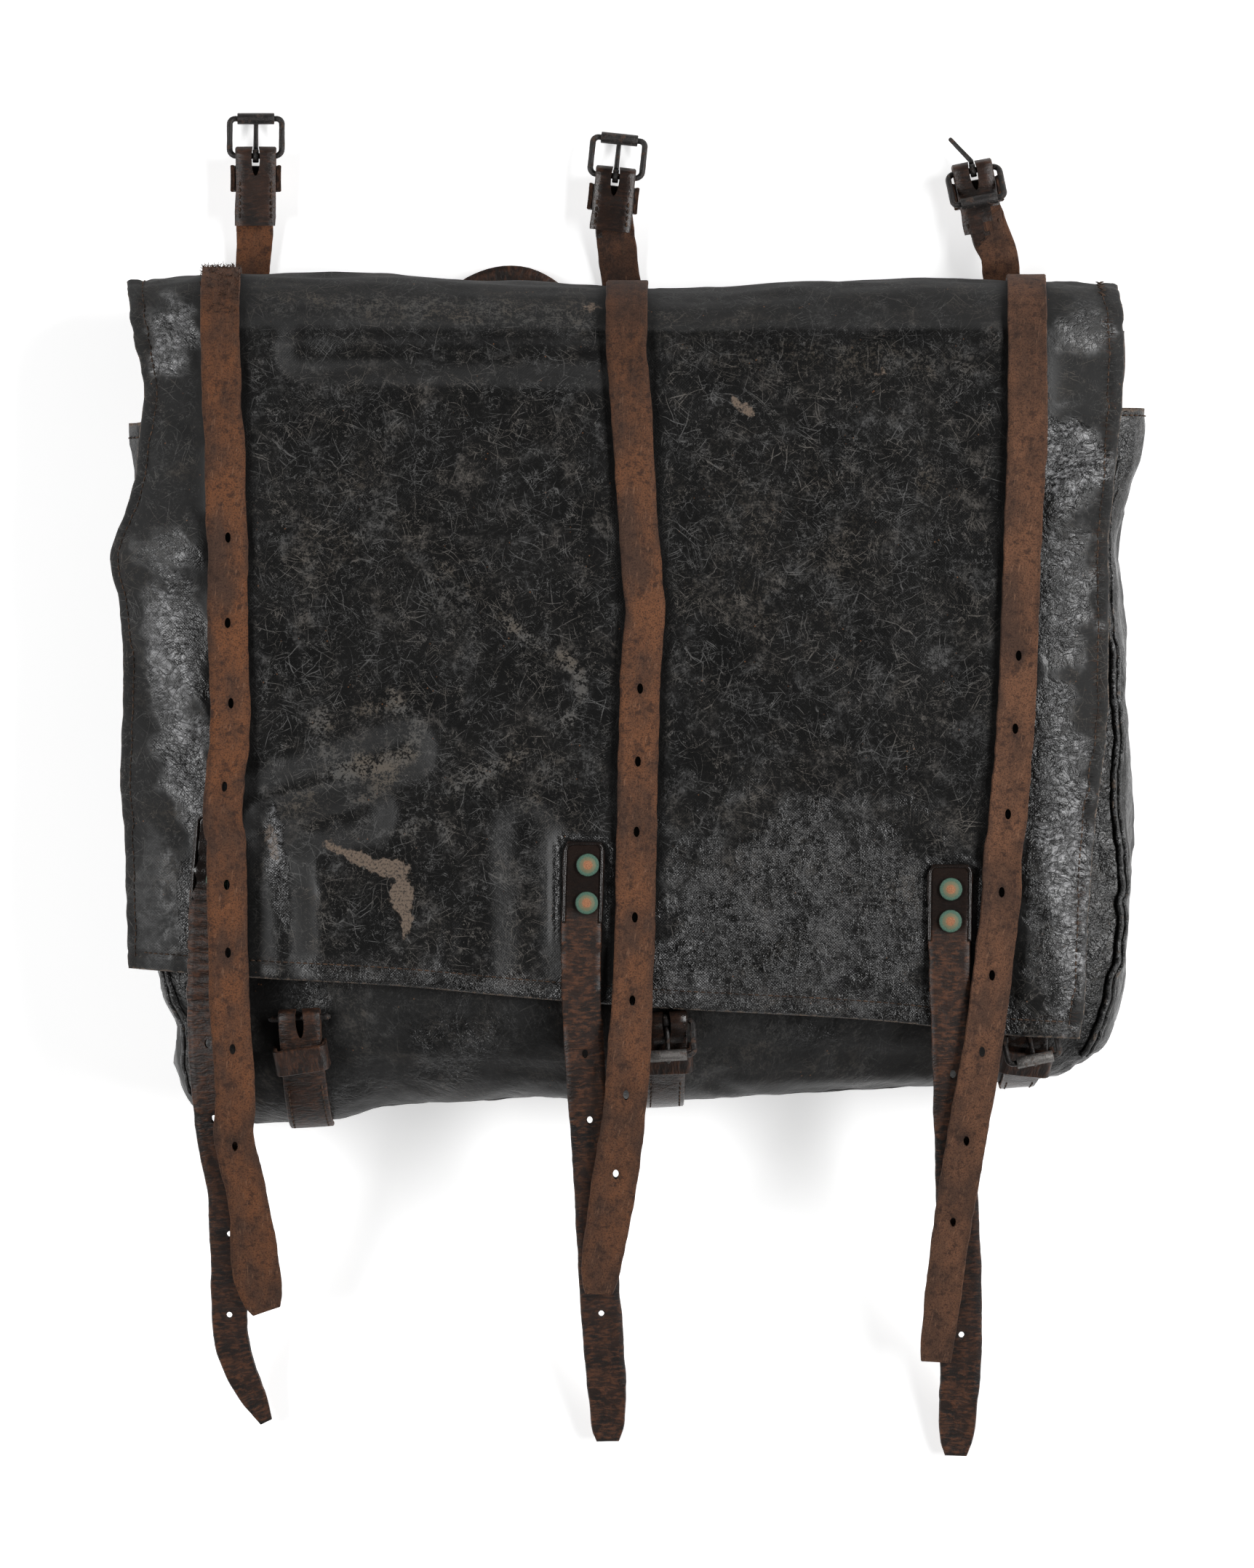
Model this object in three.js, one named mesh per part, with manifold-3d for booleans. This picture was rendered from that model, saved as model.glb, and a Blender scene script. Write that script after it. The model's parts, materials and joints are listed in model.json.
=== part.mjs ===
// Knapsack of painted canvas with leather straps, lying on its back with the flap down.
// Millimetres. +X is the right of the front, +Y the top of the bag, +Z up out of the front.
import * as THREE from "three";
import Module from "manifold-3d";
import { mergeVertices } from "three/addons/utils/BufferGeometryUtils.js";

const wasm = await Module();
wasm.setup();

// Walls and clearances
const CANVAS_WALL = 2;
const LEATHER = 2.2;
const GAP = 0.4;
const STRAP_WIDTH = 16;

// Flap: front height, underside of its back leg, and where the front turns into the top roll
const FLAP_TOP = 66;
const FLAP_BACK = 5.4;
const FOLD_Y = 178;
const ROLL_LENGTH = 84;
const BACK_LENGTH = 62;
const BACK_HALF_WIDTH = 188;
const SHOULDER_POWER = 1.8;
const SHOULDERS = [
  { side: -1, start: 160, reach: 40, drop: 22 },
  { side: 1, start: 160, reach: 40, drop: 16 },
];

// Straps that pass the lower end of the bag droop to the ground over this stretch
const DROOP_START = -100;
const DROOP_LENGTH = 180;
const DROOP_END = 1.5;

// Pouch: height of its widest level, bottom roundings and slant of its lower end
const POUCH_MIDDLE = 31;
const BOTTOM_ROUND = 55;
const CORNERS = { left: { inset: 42, power: 1 }, right: { inset: 42, power: 1.5 } };
const BOTTOM_SLANT = 0.056;
const SECTION_POWER = 4;
const SECTION_POINTS = 32;
const BACK_FLATTENING = 2.5;

// Roller buckles of iron wire
const WIRE = 1.2;
const FRAME_HALF_WIDTH = 10.45;
const FRAME_LENGTH = 15.4;
const ROLLER_HALF = 7.4;
const ROLLER_OUTER = 2.3;
const ROLLER_INNER = 1.65;
const FOLD_RADIUS = WIRE + GAP + LEATHER / 2;
const CHAPE_SLOT = 3.4;

// Outline of the flap: its two side edges by height, its hem and its top edge by width
const LEFT_EDGE = [
  { y: -73, x: -199.1 },
  { y: -24, x: -200.4 },
  { y: 2, x: -202.3 },
  { y: 54, x: -201.6 },
  { y: 72, x: -203.4 },
  { y: 89, x: -206.8 },
  { y: 107, x: -201.3 },
  { y: 124, x: -196.6 },
  { y: 142, x: -194.2 },
  { y: 157, x: -192.2 },
  { y: 168, x: -194 },
  { y: 185, x: -198.4 },
  { y: 203, x: -200.4 },
];
const RIGHT_EDGE = [
  { y: -101, x: 180 },
  { y: -92, x: 181.3 },
  { y: -42, x: 184.2 },
  { y: -10, x: 187 },
  { y: 25, x: 191.4 },
  { y: 101, x: 192.2 },
  { y: 127, x: 194.6 },
  { y: 150, x: 197.2 },
  { y: 186, x: 197.8 },
  { y: 201, x: 195.5 },
];
const HEM = [
  { x: -200, y: -73.4 },
  { x: -150, y: -77 },
  { x: -88, y: -80.6 },
  { x: -41, y: -85 },
  { x: 10, y: -88.9 },
  { x: 104, y: -94.5 },
  { x: 152, y: -100 },
  { x: 180, y: -101.4 },
];
const TOP_EDGE = [
  { x: -200, y: 201.5 },
  { x: -170, y: 203.4 },
  { x: -110, y: 203.4 },
  { x: -24, y: 199.8 },
  { x: 24, y: 197.4 },
  { x: 72, y: 200.6 },
  { x: 160, y: 200.7 },
  { x: 195, y: 199 },
];

// Folds of the flap: a line from (x0, y0) to (x1, y1), its half width, and its height or depth
const FOLDS = [
  { x0: -128, y0: 172, x1: -9, y1: 170, half: 15, rise: -2.6 },
  { x0: -60, y0: 150, x1: 60, y1: 60, half: 95, rise: 2.4 },
  { x0: -193, y0: 157, x1: -172, y1: 150, half: 18, rise: -2.6 },
  { x0: -205, y0: 89, x1: -178, y1: 92, half: 22, rise: 6 },
  { x0: -188, y0: 66, x1: -172, y1: 30, half: 17, rise: 3 },
  { x0: -193, y0: 43, x1: -170, y1: 6, half: 14, rise: -3.6 },
  { x0: -150, y0: -9, x1: -88, y1: 13, half: 15, rise: 2.6 },
  { x0: -140, y0: -18, x1: -104, y1: -12, half: 15, rise: -2.6 },
  { x0: -138, y0: -30, x1: -136, y1: -80, half: 16, rise: 3.4 },
  { x0: -188, y0: -30, x1: -186, y1: -60, half: 18, rise: 3 },
  { x0: 172, y0: 131, x1: 196, y1: 142, half: 14, rise: -3 },
  { x0: 172, y0: 108, x1: 190, y1: 118, half: 15, rise: 2.6 },
  { x0: 164, y0: -30, x1: 176, y1: -84, half: 17, rise: 3 },
  { x0: -40, y0: -20, x1: -38, y1: -78, half: 18, rise: -2.2 },
];

// Pouch sections from the bottom to the mouth: side, front and back limits
const POUCH = [
  { y: -128, left: -187, right: 198, front: 59, back: 0 },
  { y: -76, left: -187, right: 198.5, front: 59.5, back: 0 },
  { y: -41, left: -189, right: 201, front: 59.5, back: 0 },
  { y: -6, left: -190, right: 201, front: 59.5, back: 0 },
  { y: 28, left: -191, right: 199.8, front: 59.5, back: 0 },
  { y: 60, left: -191.5, right: 198.5, front: 59.5, back: 0 },
  { y: 108, left: -194, right: 198, front: 57.5, back: 8.2 },
  { y: 132, left: -197.5, right: 204, front: 56.5, back: 8.4 },
  { y: 150, left: -199, right: 206.5, front: 56, back: 8.4 },
];
const POUCH_STATIONS = [150, 130, 108, 84, 60, 28, -6, -41, -72.5];
const ROUND_STATIONS = [18, 34, 48, 60, 70, 78, 84];
const WELT_SLOTS = [
  { name: "welt_right", point: 1 },
  { name: "welt_left", point: 15 },
];

// Blanket straps down the front, from the free end to the top: centre line, rise and width
const BLANKET_FRONT = {
  left: [
    { y: -208, x: -144, lift: 5, width: 12 },
    { y: -204, x: -145.6, lift: 5, width: 16 },
    { y: -163, x: -151, lift: 5.2, width: 16 },
    { y: -138, x: -156.4, lift: 5.2, width: 16 },
    { y: -128, x: -155.8, lift: 5.2, width: 16 },
    { y: -82, x: -158, lift: 5.4, width: 16 },
    { y: -48, x: -158.8, lift: 7, width: 16 },
    { y: -14, x: -159, lift: 7, width: 16 },
    { y: 22, x: -157.9, lift: 2.2, width: 16 },
    { y: 69, x: -158.8, lift: 2, width: 16 },
    { y: 138, x: -160, lift: 2, width: 16 },
    { y: 178, x: -161.7, lift: 2, width: 15.5 },
  ],
  middle: [
    { y: -201, x: -11.3, lift: 5, width: 11 },
    { y: -196, x: -11, lift: 5, width: 14 },
    { y: -163, x: -6, lift: 5, width: 18 },
    { y: -128, x: -1, lift: 6, width: 17 },
    { y: -104, x: 1, lift: 7.6, width: 17 },
    { y: -76, x: 2.6, lift: 3.6, width: 16 },
    { y: -50, x: 3.2, lift: 2.2, width: 16 },
    { y: 30, x: 5, lift: 2, width: 16 },
    { y: 58, x: 6.3, lift: 2, width: 16 },
    { y: 68, x: 7.4, lift: 2, width: 16 },
    { y: 80, x: 6.2, lift: 2, width: 16 },
    { y: 138, x: 2.3, lift: 2, width: 16 },
    { y: 178, x: 0, lift: 2, width: 16.5 },
  ],
  right: [
    { y: -229, x: 123.6, lift: 5, width: 12 },
    { y: -224, x: 124, lift: 5, width: 13 },
    { y: -180, x: 128.8, lift: 5, width: 15 },
    { y: -128, x: 137, lift: 5.2, width: 16 },
    { y: -100, x: 142, lift: 5.4, width: 15.5 },
    { y: -76, x: 145, lift: 4.4, width: 15.5 },
    { y: -50, x: 148.2, lift: 3.2, width: 15.5 },
    { y: -20, x: 150.7, lift: 3, width: 15.3 },
    { y: 22, x: 154.3, lift: 2, width: 15 },
    { y: 92, x: 157, lift: 2, width: 15 },
    { y: 140, x: 159.1, lift: 2, width: 16 },
    { y: 178, x: 159.2, lift: 2, width: 15.5 },
  ],
};
const BLANKET_HOLES = {
  left: [97.7, 64, 32, -2, -40, -67, -105, -142],
  middle: [38, 9, -19, -53, -86, -122, -153],
  right: [51, 22, -12, -43, -76, -106, -140, -172],
};

// The same straps under the top, from the turn at the back to the neck of the buckle
const BLANKET_BACK = {
  left: [
    { x: -160, y: 168, z: 1.45, width: 15 },
    { x: -154, y: 186, z: 1.45, width: 14.5 },
    { x: -150.5, y: 203, z: 1.6, width: 14 },
    { x: -149.2, y: 224, z: 4.6, width: 14.6 },
  ],
  middle: [
    { x: -0.6, y: 168, z: 1.45, width: 16 },
    { x: -1.6, y: 186, z: 1.45, width: 15.5 },
    { x: -2.6, y: 203, z: 1.6, width: 15.5 },
    { x: -4.6, y: 219, z: 4.8, width: 15.5 },
  ],
  right: [
    { x: 158.5, y: 168, z: 1.45, width: 15 },
    { x: 153.5, y: 187, z: 1.45, width: 15 },
    { x: 150.6, y: 200, z: 4.5, width: 15 },
    { x: 149.2, y: 210.5, z: 13.5, width: 15 },
    { x: 146.5, y: 218, z: 10.6, width: 15.5 },
  ],
};

// Upper buckles: middle of the bar, turn of the bar in plan, and swing of frame and tongue
const UPPER_BUCKLES = {
  left: { x: -148.8, y: 251.7, z: 8.9, tilt: 0, swing: -12, tongue: 0, bend: 0, chape: 28 },
  middle: { x: -4.6, y: 243.6, z: 8.9, tilt: -6, swing: -12, tongue: 0, bend: 0, chape: 22 },
  right: { x: 138.6, y: 245.9, z: 8.9, tilt: 11, swing: 146, tongue: -148, bend: -32, chape: 25 },
};
const UPPER_KEEPER = { from: 3.6, length: 10.6, room: 2.2, wall: 1.6 };

// Closing straps from the tip to the riveted end
const CLOSING = {
  left: [
    { y: -255, x: -144.6, width: 5 },
    { y: -246, x: -149.2, width: 10 },
    { y: -233, x: -155.2, width: 13 },
    { y: -218, x: -158.6, width: 14 },
    { y: -190, x: -158.3, width: 16 },
    { y: -160, x: -159.4, width: 16 },
    { y: -139, x: -163, width: 16 },
    { y: -98, x: -166.3, width: 16 },
    { y: -47, x: -165.6, width: 16 },
    { y: -12, x: -163, width: 16 },
  ],
  middle: [
    { y: -263, x: -7.6, width: 9 },
    { y: -258, x: -7.7, width: 12.5 },
    { y: -246, x: -8, width: 15 },
    { y: -233, x: -8.6, width: 16 },
    { y: -198, x: -11.2, width: 16 },
    { y: -151, x: -13.6, width: 16 },
    { y: -105, x: -16.8, width: 16 },
    { y: -82, x: -18.3, width: 15.6 },
    { y: -40, x: -17.5, width: 16.4 },
    { y: -23, x: -17, width: 17 },
  ],
  right: [
    { y: -269, x: 131.8, width: 9 },
    { y: -264, x: 132, width: 12.5 },
    { y: -250, x: 132.5, width: 15 },
    { y: -233, x: 133.6, width: 16.5 },
    { y: -198, x: 133.4, width: 16.5 },
    { y: -163, x: 131.4, width: 17 },
    { y: -117, x: 129.6, width: 16 },
    { y: -73, x: 128.2, width: 16.4 },
    { y: -32, x: 128.5, width: 18.5 },
  ],
};
const CLOSING_LIFT = 2;
const CLOSING_HOLES = {
  left: [-103, -132.5, -154, -178.6, -211.4],
  middle: [-107, -133, -158, -184, -210.8],
  right: [-115, -141, -167, -193, -219.5],
};
const RIVETS = {
  left: { shift: 3, heights: [-23, -38] },
  middle: { shift: 1.7, heights: [-32.2, -47.3] },
  right: { shift: 0.3, heights: [-41.8, -54.5] },
};
const RIVET = { head: 4.6, rim: 0.9, dome: 1.5, shank: 1.5, hole: 1.9 };

// Lower chapes on the front of the bag: place and turn of the bar, lean of the leg, room in the keeper
const LOWER = {
  left: { x: -130, y: -85.5, turn: 0, lean: 0.1, room: 2.4, tail: 53, tailWidth: 17.4, frame: false },
  middle: { x: 15.6, y: -94, turn: 0, lean: -0.02, room: 0.8, tail: 45, tailWidth: 15.4, frame: true },
  right: { x: 158.6, y: -103, turn: 9, lean: -0.2, room: 0.8, tail: 35, tailWidth: 14, frame: true },
};
const LOWER_WIDTH = 16.6;
const LEG_SWERVE = 10;
const LOWER_SWING = 142;
const LOWER_KEEPER = { from: 9.6, length: 10.6, wall: 1.6 };
const UNDER_LIFT = 1.6;
const FRONT_LIFT = UNDER_LIFT + LEATHER + GAP;
const BAR_LIFT = UNDER_LIFT + FOLD_RADIUS;
const BROKEN_BAR = { radius: 1.2, half: 12.4 };

// Shoulder straps, flat under the upper back
const SHOULDER_WIDTH = 25;
const SHOULDER_LEATHER = 2.5;
const SHOULDER_HEIGHT = FLAP_BACK - GAP - SHOULDER_LEATHER / 2;
const SHOULDER_STRAPS = {
  left: [
    { x: -86, y: 118 },
    { x: -80, y: 160 },
    { x: -65, y: 187 },
    { x: -45, y: 195.4 },
    { x: -29, y: 184 },
    { x: -24, y: 158 },
    { x: -26, y: 118 },
  ],
  right: [
    { x: 42, y: 128 },
    { x: 90, y: 131 },
    { x: 140, y: 129 },
    { x: 172, y: 139 },
    { x: 186, y: 160 },
    { x: 187, y: 182 },
  ],
};

// Slots of material
const canvas = new THREE.MeshStandardMaterial({ name: "canvas", color: 0x1c1b1a, roughness: 0.6 });
const leather = new THREE.MeshStandardMaterial({ name: "leather", color: 0x5a3320, roughness: 0.8 });
const iron = new THREE.MeshStandardMaterial({ name: "iron", color: 0x24211f, metalness: 0.9 });
const copper = new THREE.MeshStandardMaterial({ name: "copper", color: 0x7a6a4a, metalness: 0.8 });

const knapsack = new THREE.Group();
knapsack.name = "knapsack";

function addPiece(name, geometry, material, parent = knapsack) {
  const mesh = new THREE.Mesh(geometry, material);
  mesh.name = name;
  parent.add(mesh);
  return mesh;
}

// A table column as a smooth function of another column
function column(rows, key, name) {
  const sorted = [...rows].sort((a, b) => a[key] - b[key]);
  const line = new THREE.CubicInterpolant(
    sorted.map((row) => row[key]),
    sorted.map((row) => row[name]),
    1,
  );
  return (at) => line.evaluate(at)[0];
}

// Solid through rings of equal, even length; the ends are closed across, or joined for a loop
function loft(rings, loop = false) {
  const count = rings[0].length;
  const positions = rings.flatMap((ring) => ring.flatMap((p) => [p.x, p.y, p.z]));
  const index = [];
  const quad = (a, b, c, d) => index.push(a, b, c, a, c, d);
  const spans = loop ? rings.length : rings.length - 1;
  for (let r = 0; r < spans; r++) {
    const here = r * count;
    const next = ((r + 1) % rings.length) * count;
    for (let i = 0; i < count; i++) {
      const j = (i + 1) % count;
      quad(here + i, here + j, next + j, next + i);
    }
  }
  if (!loop) {
    const last = (rings.length - 1) * count;
    for (let i = 0; i < count / 2 - 1; i++) {
      const far = count - 1 - i;
      quad(far, far - 1, i + 1, i);
      quad(last + i, last + i + 1, last + far - 1, last + far);
    }
  }
  const geometry = new THREE.BufferGeometry();
  geometry.setAttribute("position", new THREE.Float32BufferAttribute(positions, 3));
  geometry.setIndex(signedVolume(positions, index) < 0 ? index.reverse() : index);
  return geometry;
}

function signedVolume(positions, index) {
  const corner = (i) => new THREE.Vector3().fromArray(positions, 3 * index[i]);
  let volume = 0;
  for (let i = 0; i < index.length; i += 3) {
    volume += corner(i).dot(corner(i + 1).cross(corner(i + 2)));
  }
  return volume;
}

function toManifold(geometry) {
  const plain = geometry.clone();
  plain.deleteAttribute("normal");
  plain.deleteAttribute("uv");
  const merged = mergeVertices(plain, 1e-4);
  return new wasm.Manifold(
    new wasm.Mesh({
      numProp: 3,
      vertProperties: new Float32Array(merged.attributes.position.array),
      triVerts: new Uint32Array(merged.index.array),
    }),
  );
}

function fromManifold(solid) {
  const mesh = solid.getMesh();
  const geometry = new THREE.BufferGeometry();
  geometry.setAttribute("position", new THREE.BufferAttribute(mesh.vertProperties, 3));
  geometry.setIndex(new THREE.BufferAttribute(mesh.triVerts, 1));
  return geometry;
}

function cut(geometry, cutters) {
  return fromManifold(cutters.reduce((body, c) => body.subtract(toManifold(c)), toManifold(geometry)));
}

// Turn of the axes: `x` and `y` become the local X and Y, and `at` the local origin
function placed(at, x, y) {
  const z = new THREE.Vector3().crossVectors(x, y).normalize();
  return new THREE.Matrix4().makeBasis(x, y, z).setPosition(at);
}

// Round cutter through a strap at a point, along its normal
function holeCutter(at, normal, radius) {
  const cylinder = new THREE.CylinderGeometry(radius, radius, 9, 6);
  const turn = new THREE.Quaternion().setFromUnitVectors(new THREE.Vector3(0, 1, 0), normal);
  return cylinder.applyQuaternion(turn).translate(at.x, at.y, at.z);
}

// Strap of rectangular section through stations, each with a place, a width and a cross direction
function ribbon(stations, thickness) {
  const rings = stations.map((station, i) => {
    const before = stations[Math.max(i - 1, 0)].at;
    const after = stations[Math.min(i + 1, stations.length - 1)].at;
    const along = new THREE.Vector3().subVectors(after, before).normalize();
    const side = station.across.clone();
    side.addScaledVector(along, -side.dot(along)).normalize();
    const up = new THREE.Vector3().crossVectors(side, along).multiplyScalar(thickness / 2);
    side.multiplyScalar(station.width / 2);
    return [
      station.at.clone().sub(side).sub(up),
      station.at.clone().add(side).sub(up),
      station.at.clone().add(side).add(up),
      station.at.clone().sub(side).add(up),
    ];
  });
  return loft(rings);
}

// Round bar along a line of points
function wire(points, radius, loop, flat) {
  const rings = points.map((at, i) => {
    const n = points.length;
    const before = points[loop ? (i + n - 1) % n : Math.max(i - 1, 0)];
    const after = points[loop ? (i + 1) % n : Math.min(i + 1, n - 1)];
    const along = new THREE.Vector3().subVectors(after, before).normalize();
    const out = new THREE.Vector3().crossVectors(along, flat).normalize();
    return Array.from({ length: 6 }, (_, k) => {
      const turn = (k * Math.PI) / 3;
      const rim = at.clone().addScaledVector(out, radius * Math.cos(turn));
      return rim.addScaledVector(flat, radius * Math.sin(turn));
    });
  });
  return loft(rings, loop);
}

// Flap surface
const leftEdge = column(LEFT_EDGE, "y", "x");
const rightEdge = column(RIGHT_EDGE, "y", "x");
const hem = column(HEM, "x", "y");
const topEdge = column(TOP_EDGE, "x", "y");

function foldHeight(x, y) {
  let sum = 0;
  for (const { x0, y0, x1, y1, half, rise } of FOLDS) {
    const length = Math.hypot(x1 - x0, y1 - y0);
    const along = ((x - x0) * (x1 - x0) + (y - y0) * (y1 - y0)) / length ** 2;
    const near = THREE.MathUtils.clamp(along, 0, 1);
    const off = Math.hypot(x - x0 - near * (x1 - x0), y - y0 - near * (y1 - y0)) / half;
    if (off < 1) sum += rise * (1 - off * off) ** 2;
  }
  return sum;
}

function frontHeight(x, y) {
  const sides = SHOULDERS.map(({ side, start, reach, drop }) => {
    return drop * Math.max(0, (side * x - start) / reach) ** SHOULDER_POWER;
  });
  const droop = THREE.MathUtils.smoothstep(DROOP_START - y, 0, DROOP_LENGTH) * (FLAP_TOP - DROOP_END);
  return FLAP_TOP - sides[0] - sides[1] + foldHeight(x, y) - droop;
}

// Outer face of the flap by width and by distance from the fold: down the front, or round the roll
function flapPoint(x, distance) {
  if (distance >= 0) {
    return new THREE.Vector3(x, FOLD_Y - distance, frontHeight(x, FOLD_Y - distance));
  }
  const turn = Math.min(-distance / ROLL_LENGTH, 1) * Math.PI;
  const front = frontHeight(x, FOLD_Y);
  const z = FLAP_BACK + (front - FLAP_BACK) * (0.5 + 0.5 * Math.cos(turn));
  const reach = (topEdge(x) - FOLD_Y) * Math.sin(turn);
  return new THREE.Vector3(x, FOLD_Y + reach - Math.max(0, -distance - ROLL_LENGTH), z);
}

function flapNormal(x, distance) {
  const step = 0.5;
  const along = flapPoint(x, distance + step).sub(flapPoint(x, distance - step));
  const across = flapPoint(x + step, distance).sub(flapPoint(x - step, distance));
  return along.cross(across).normalize();
}

function flapStation(across, down) {
  if (down > 0) {
    const left = leftEdge(THREE.MathUtils.lerp(FOLD_Y, HEM[0].y, down));
    const right = rightEdge(THREE.MathUtils.lerp(FOLD_Y, HEM[HEM.length - 1].y, down));
    const x = THREE.MathUtils.lerp(left, right, across);
    return [x, down * (FOLD_Y - hem(x))];
  }
  const distance = down > -1 ? down * ROLL_LENGTH : -ROLL_LENGTH + (down + 1) * BACK_LENGTH;
  const side = flapPoint(0, Math.max(distance, -ROLL_LENGTH / 2)).y;
  const narrow = THREE.MathUtils.smoothstep(-down, 0.5, 1.2);
  const left = THREE.MathUtils.lerp(leftEdge(side), -BACK_HALF_WIDTH, narrow);
  const right = THREE.MathUtils.lerp(rightEdge(side), BACK_HALF_WIDTH, narrow);
  return [THREE.MathUtils.lerp(left, right, across), distance];
}

const FLAP_ACROSS = 22;
const FLAP_FRONT_ROWS = 16;
const ROLL_SHARES = [0.86, 0.72, 0.58, 0.44, 0.3, 0.15];
const FLAP_DOWN = [-2, -1.5, -1, ...ROLL_SHARES.map((share) => -share), 0];
for (let row = 1; row <= FLAP_FRONT_ROWS; row++) FLAP_DOWN.push(row / FLAP_FRONT_ROWS);

function flapRing(down) {
  const outer = [];
  const inner = [];
  for (let i = 0; i <= FLAP_ACROSS; i++) {
    const [x, distance] = flapStation(i / FLAP_ACROSS, down);
    const face = flapPoint(x, distance);
    outer.push(face);
    inner.unshift(face.clone().addScaledVector(flapNormal(x, distance), -CANVAS_WALL));
  }
  return [...outer, ...inner];
}
addPiece("flap", loft(FLAP_DOWN.map(flapRing)), canvas);

// Pouch surface
const pouchLimits = ["left", "right", "front", "back"].map((name) => [name, column(POUCH, "y", name)]);

function pouchSection(station, angle, wall) {
  const limits = Object.fromEntries(pouchLimits.map(([name, line]) => [name, line(station)]));
  const round = Math.cos(angle);
  const cornered = ({ inset, power }) => wall + inset * (1 - round) ** power;
  return {
    y: station - (BOTTOM_ROUND - wall) * Math.sin(angle),
    left: limits.left + cornered(CORNERS.left),
    right: limits.right - cornered(CORNERS.right),
    rise: (limits.front - wall - POUCH_MIDDLE) * round,
    fall: (POUCH_MIDDLE - limits.back + BACK_FLATTENING - wall) * round,
    back: Math.max(limits.back, 0) + wall,
  };
}

function slanted(x, y) {
  return y + BOTTOM_SLANT * x * (1 - THREE.MathUtils.smoothstep(y, -100, 40));
}

function pouchRing(section) {
  const middle = (section.left + section.right) / 2;
  const half = (section.right - section.left) / 2;
  const power = 2 / SECTION_POWER;
  return Array.from({ length: SECTION_POINTS }, (_, i) => {
    const turn = ((i + 0.5) * 2 * Math.PI) / SECTION_POINTS;
    const wide = Math.sign(Math.cos(turn)) * Math.abs(Math.cos(turn)) ** power;
    const high = Math.sign(Math.sin(turn)) * Math.abs(Math.sin(turn)) ** power;
    const x = middle + half * wide;
    const z = POUCH_MIDDLE + high * (high > 0 ? section.rise : section.fall);
    return new THREE.Vector3(x, slanted(x, section.y), Math.max(z, section.back));
  });
}

function pouchRings(wall) {
  const bottom = POUCH_STATIONS[POUCH_STATIONS.length - 1];
  return [
    ...POUCH_STATIONS.map((station) => pouchRing(pouchSection(station, 0, wall))),
    ...ROUND_STATIONS.map((turn) => pouchRing(pouchSection(bottom, turn * THREE.MathUtils.DEG2RAD, wall))),
  ];
}
const pouchOuter = pouchRings(0);
addPiece("pouch", loft([...pouchOuter.toReversed(), ...pouchRings(CANVAS_WALL)]), canvas);

// Welts along the side seams, just clear of the pouch
const WELT_RADIUS = 1.3;
for (const { name, point } of WELT_SLOTS) {
  const line = pouchOuter.slice(1, -3).map((ring) => {
    const across = new THREE.Vector3().subVectors(ring[point + 1], ring[point - 1]).normalize();
    const out = new THREE.Vector3(across.z, 0, -across.x);
    return ring[point].clone().addScaledVector(out, WELT_RADIUS + 2 * GAP);
  });
  addPiece(name, wire(line, WELT_RADIUS, false, new THREE.Vector3(0, 0, 1)), canvas);
}

// Front face of the pouch at x and by distance down from a starting height: place and directions
function pouchFront(x, start, distance) {
  const bottom = POUCH_STATIONS[POUCH_STATIONS.length - 1];
  const place = (turn, shift = 0) => {
    const section = pouchSection(bottom, Math.max(turn, 0), 0);
    const middle = (section.left + section.right) / 2;
    const share = Math.min(Math.abs(x + shift - middle) / (section.right - middle), 1);
    const y = turn < 0 ? bottom - turn * BOTTOM_ROUND : section.y;
    const z = POUCH_MIDDLE + section.rise * (1 - share ** SECTION_POWER) ** (1 / SECTION_POWER);
    return new THREE.Vector3(x + shift, slanted(x + shift, y), z);
  };
  const step = 0.01;
  const down = (bottom - start) / BOTTOM_ROUND;
  let turn = down > 0 ? Math.asin(down) : down;
  for (let left = distance; left > 0; turn += step) left -= place(turn + step).distanceTo(place(turn));
  const along = place(turn + step).sub(place(turn - step)).normalize();
  const across = place(turn, 1).sub(place(turn, -1)).normalize();
  const normal = new THREE.Vector3().crossVectors(along, across).normalize();
  return { at: place(turn), along, across, normal };
}

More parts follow.
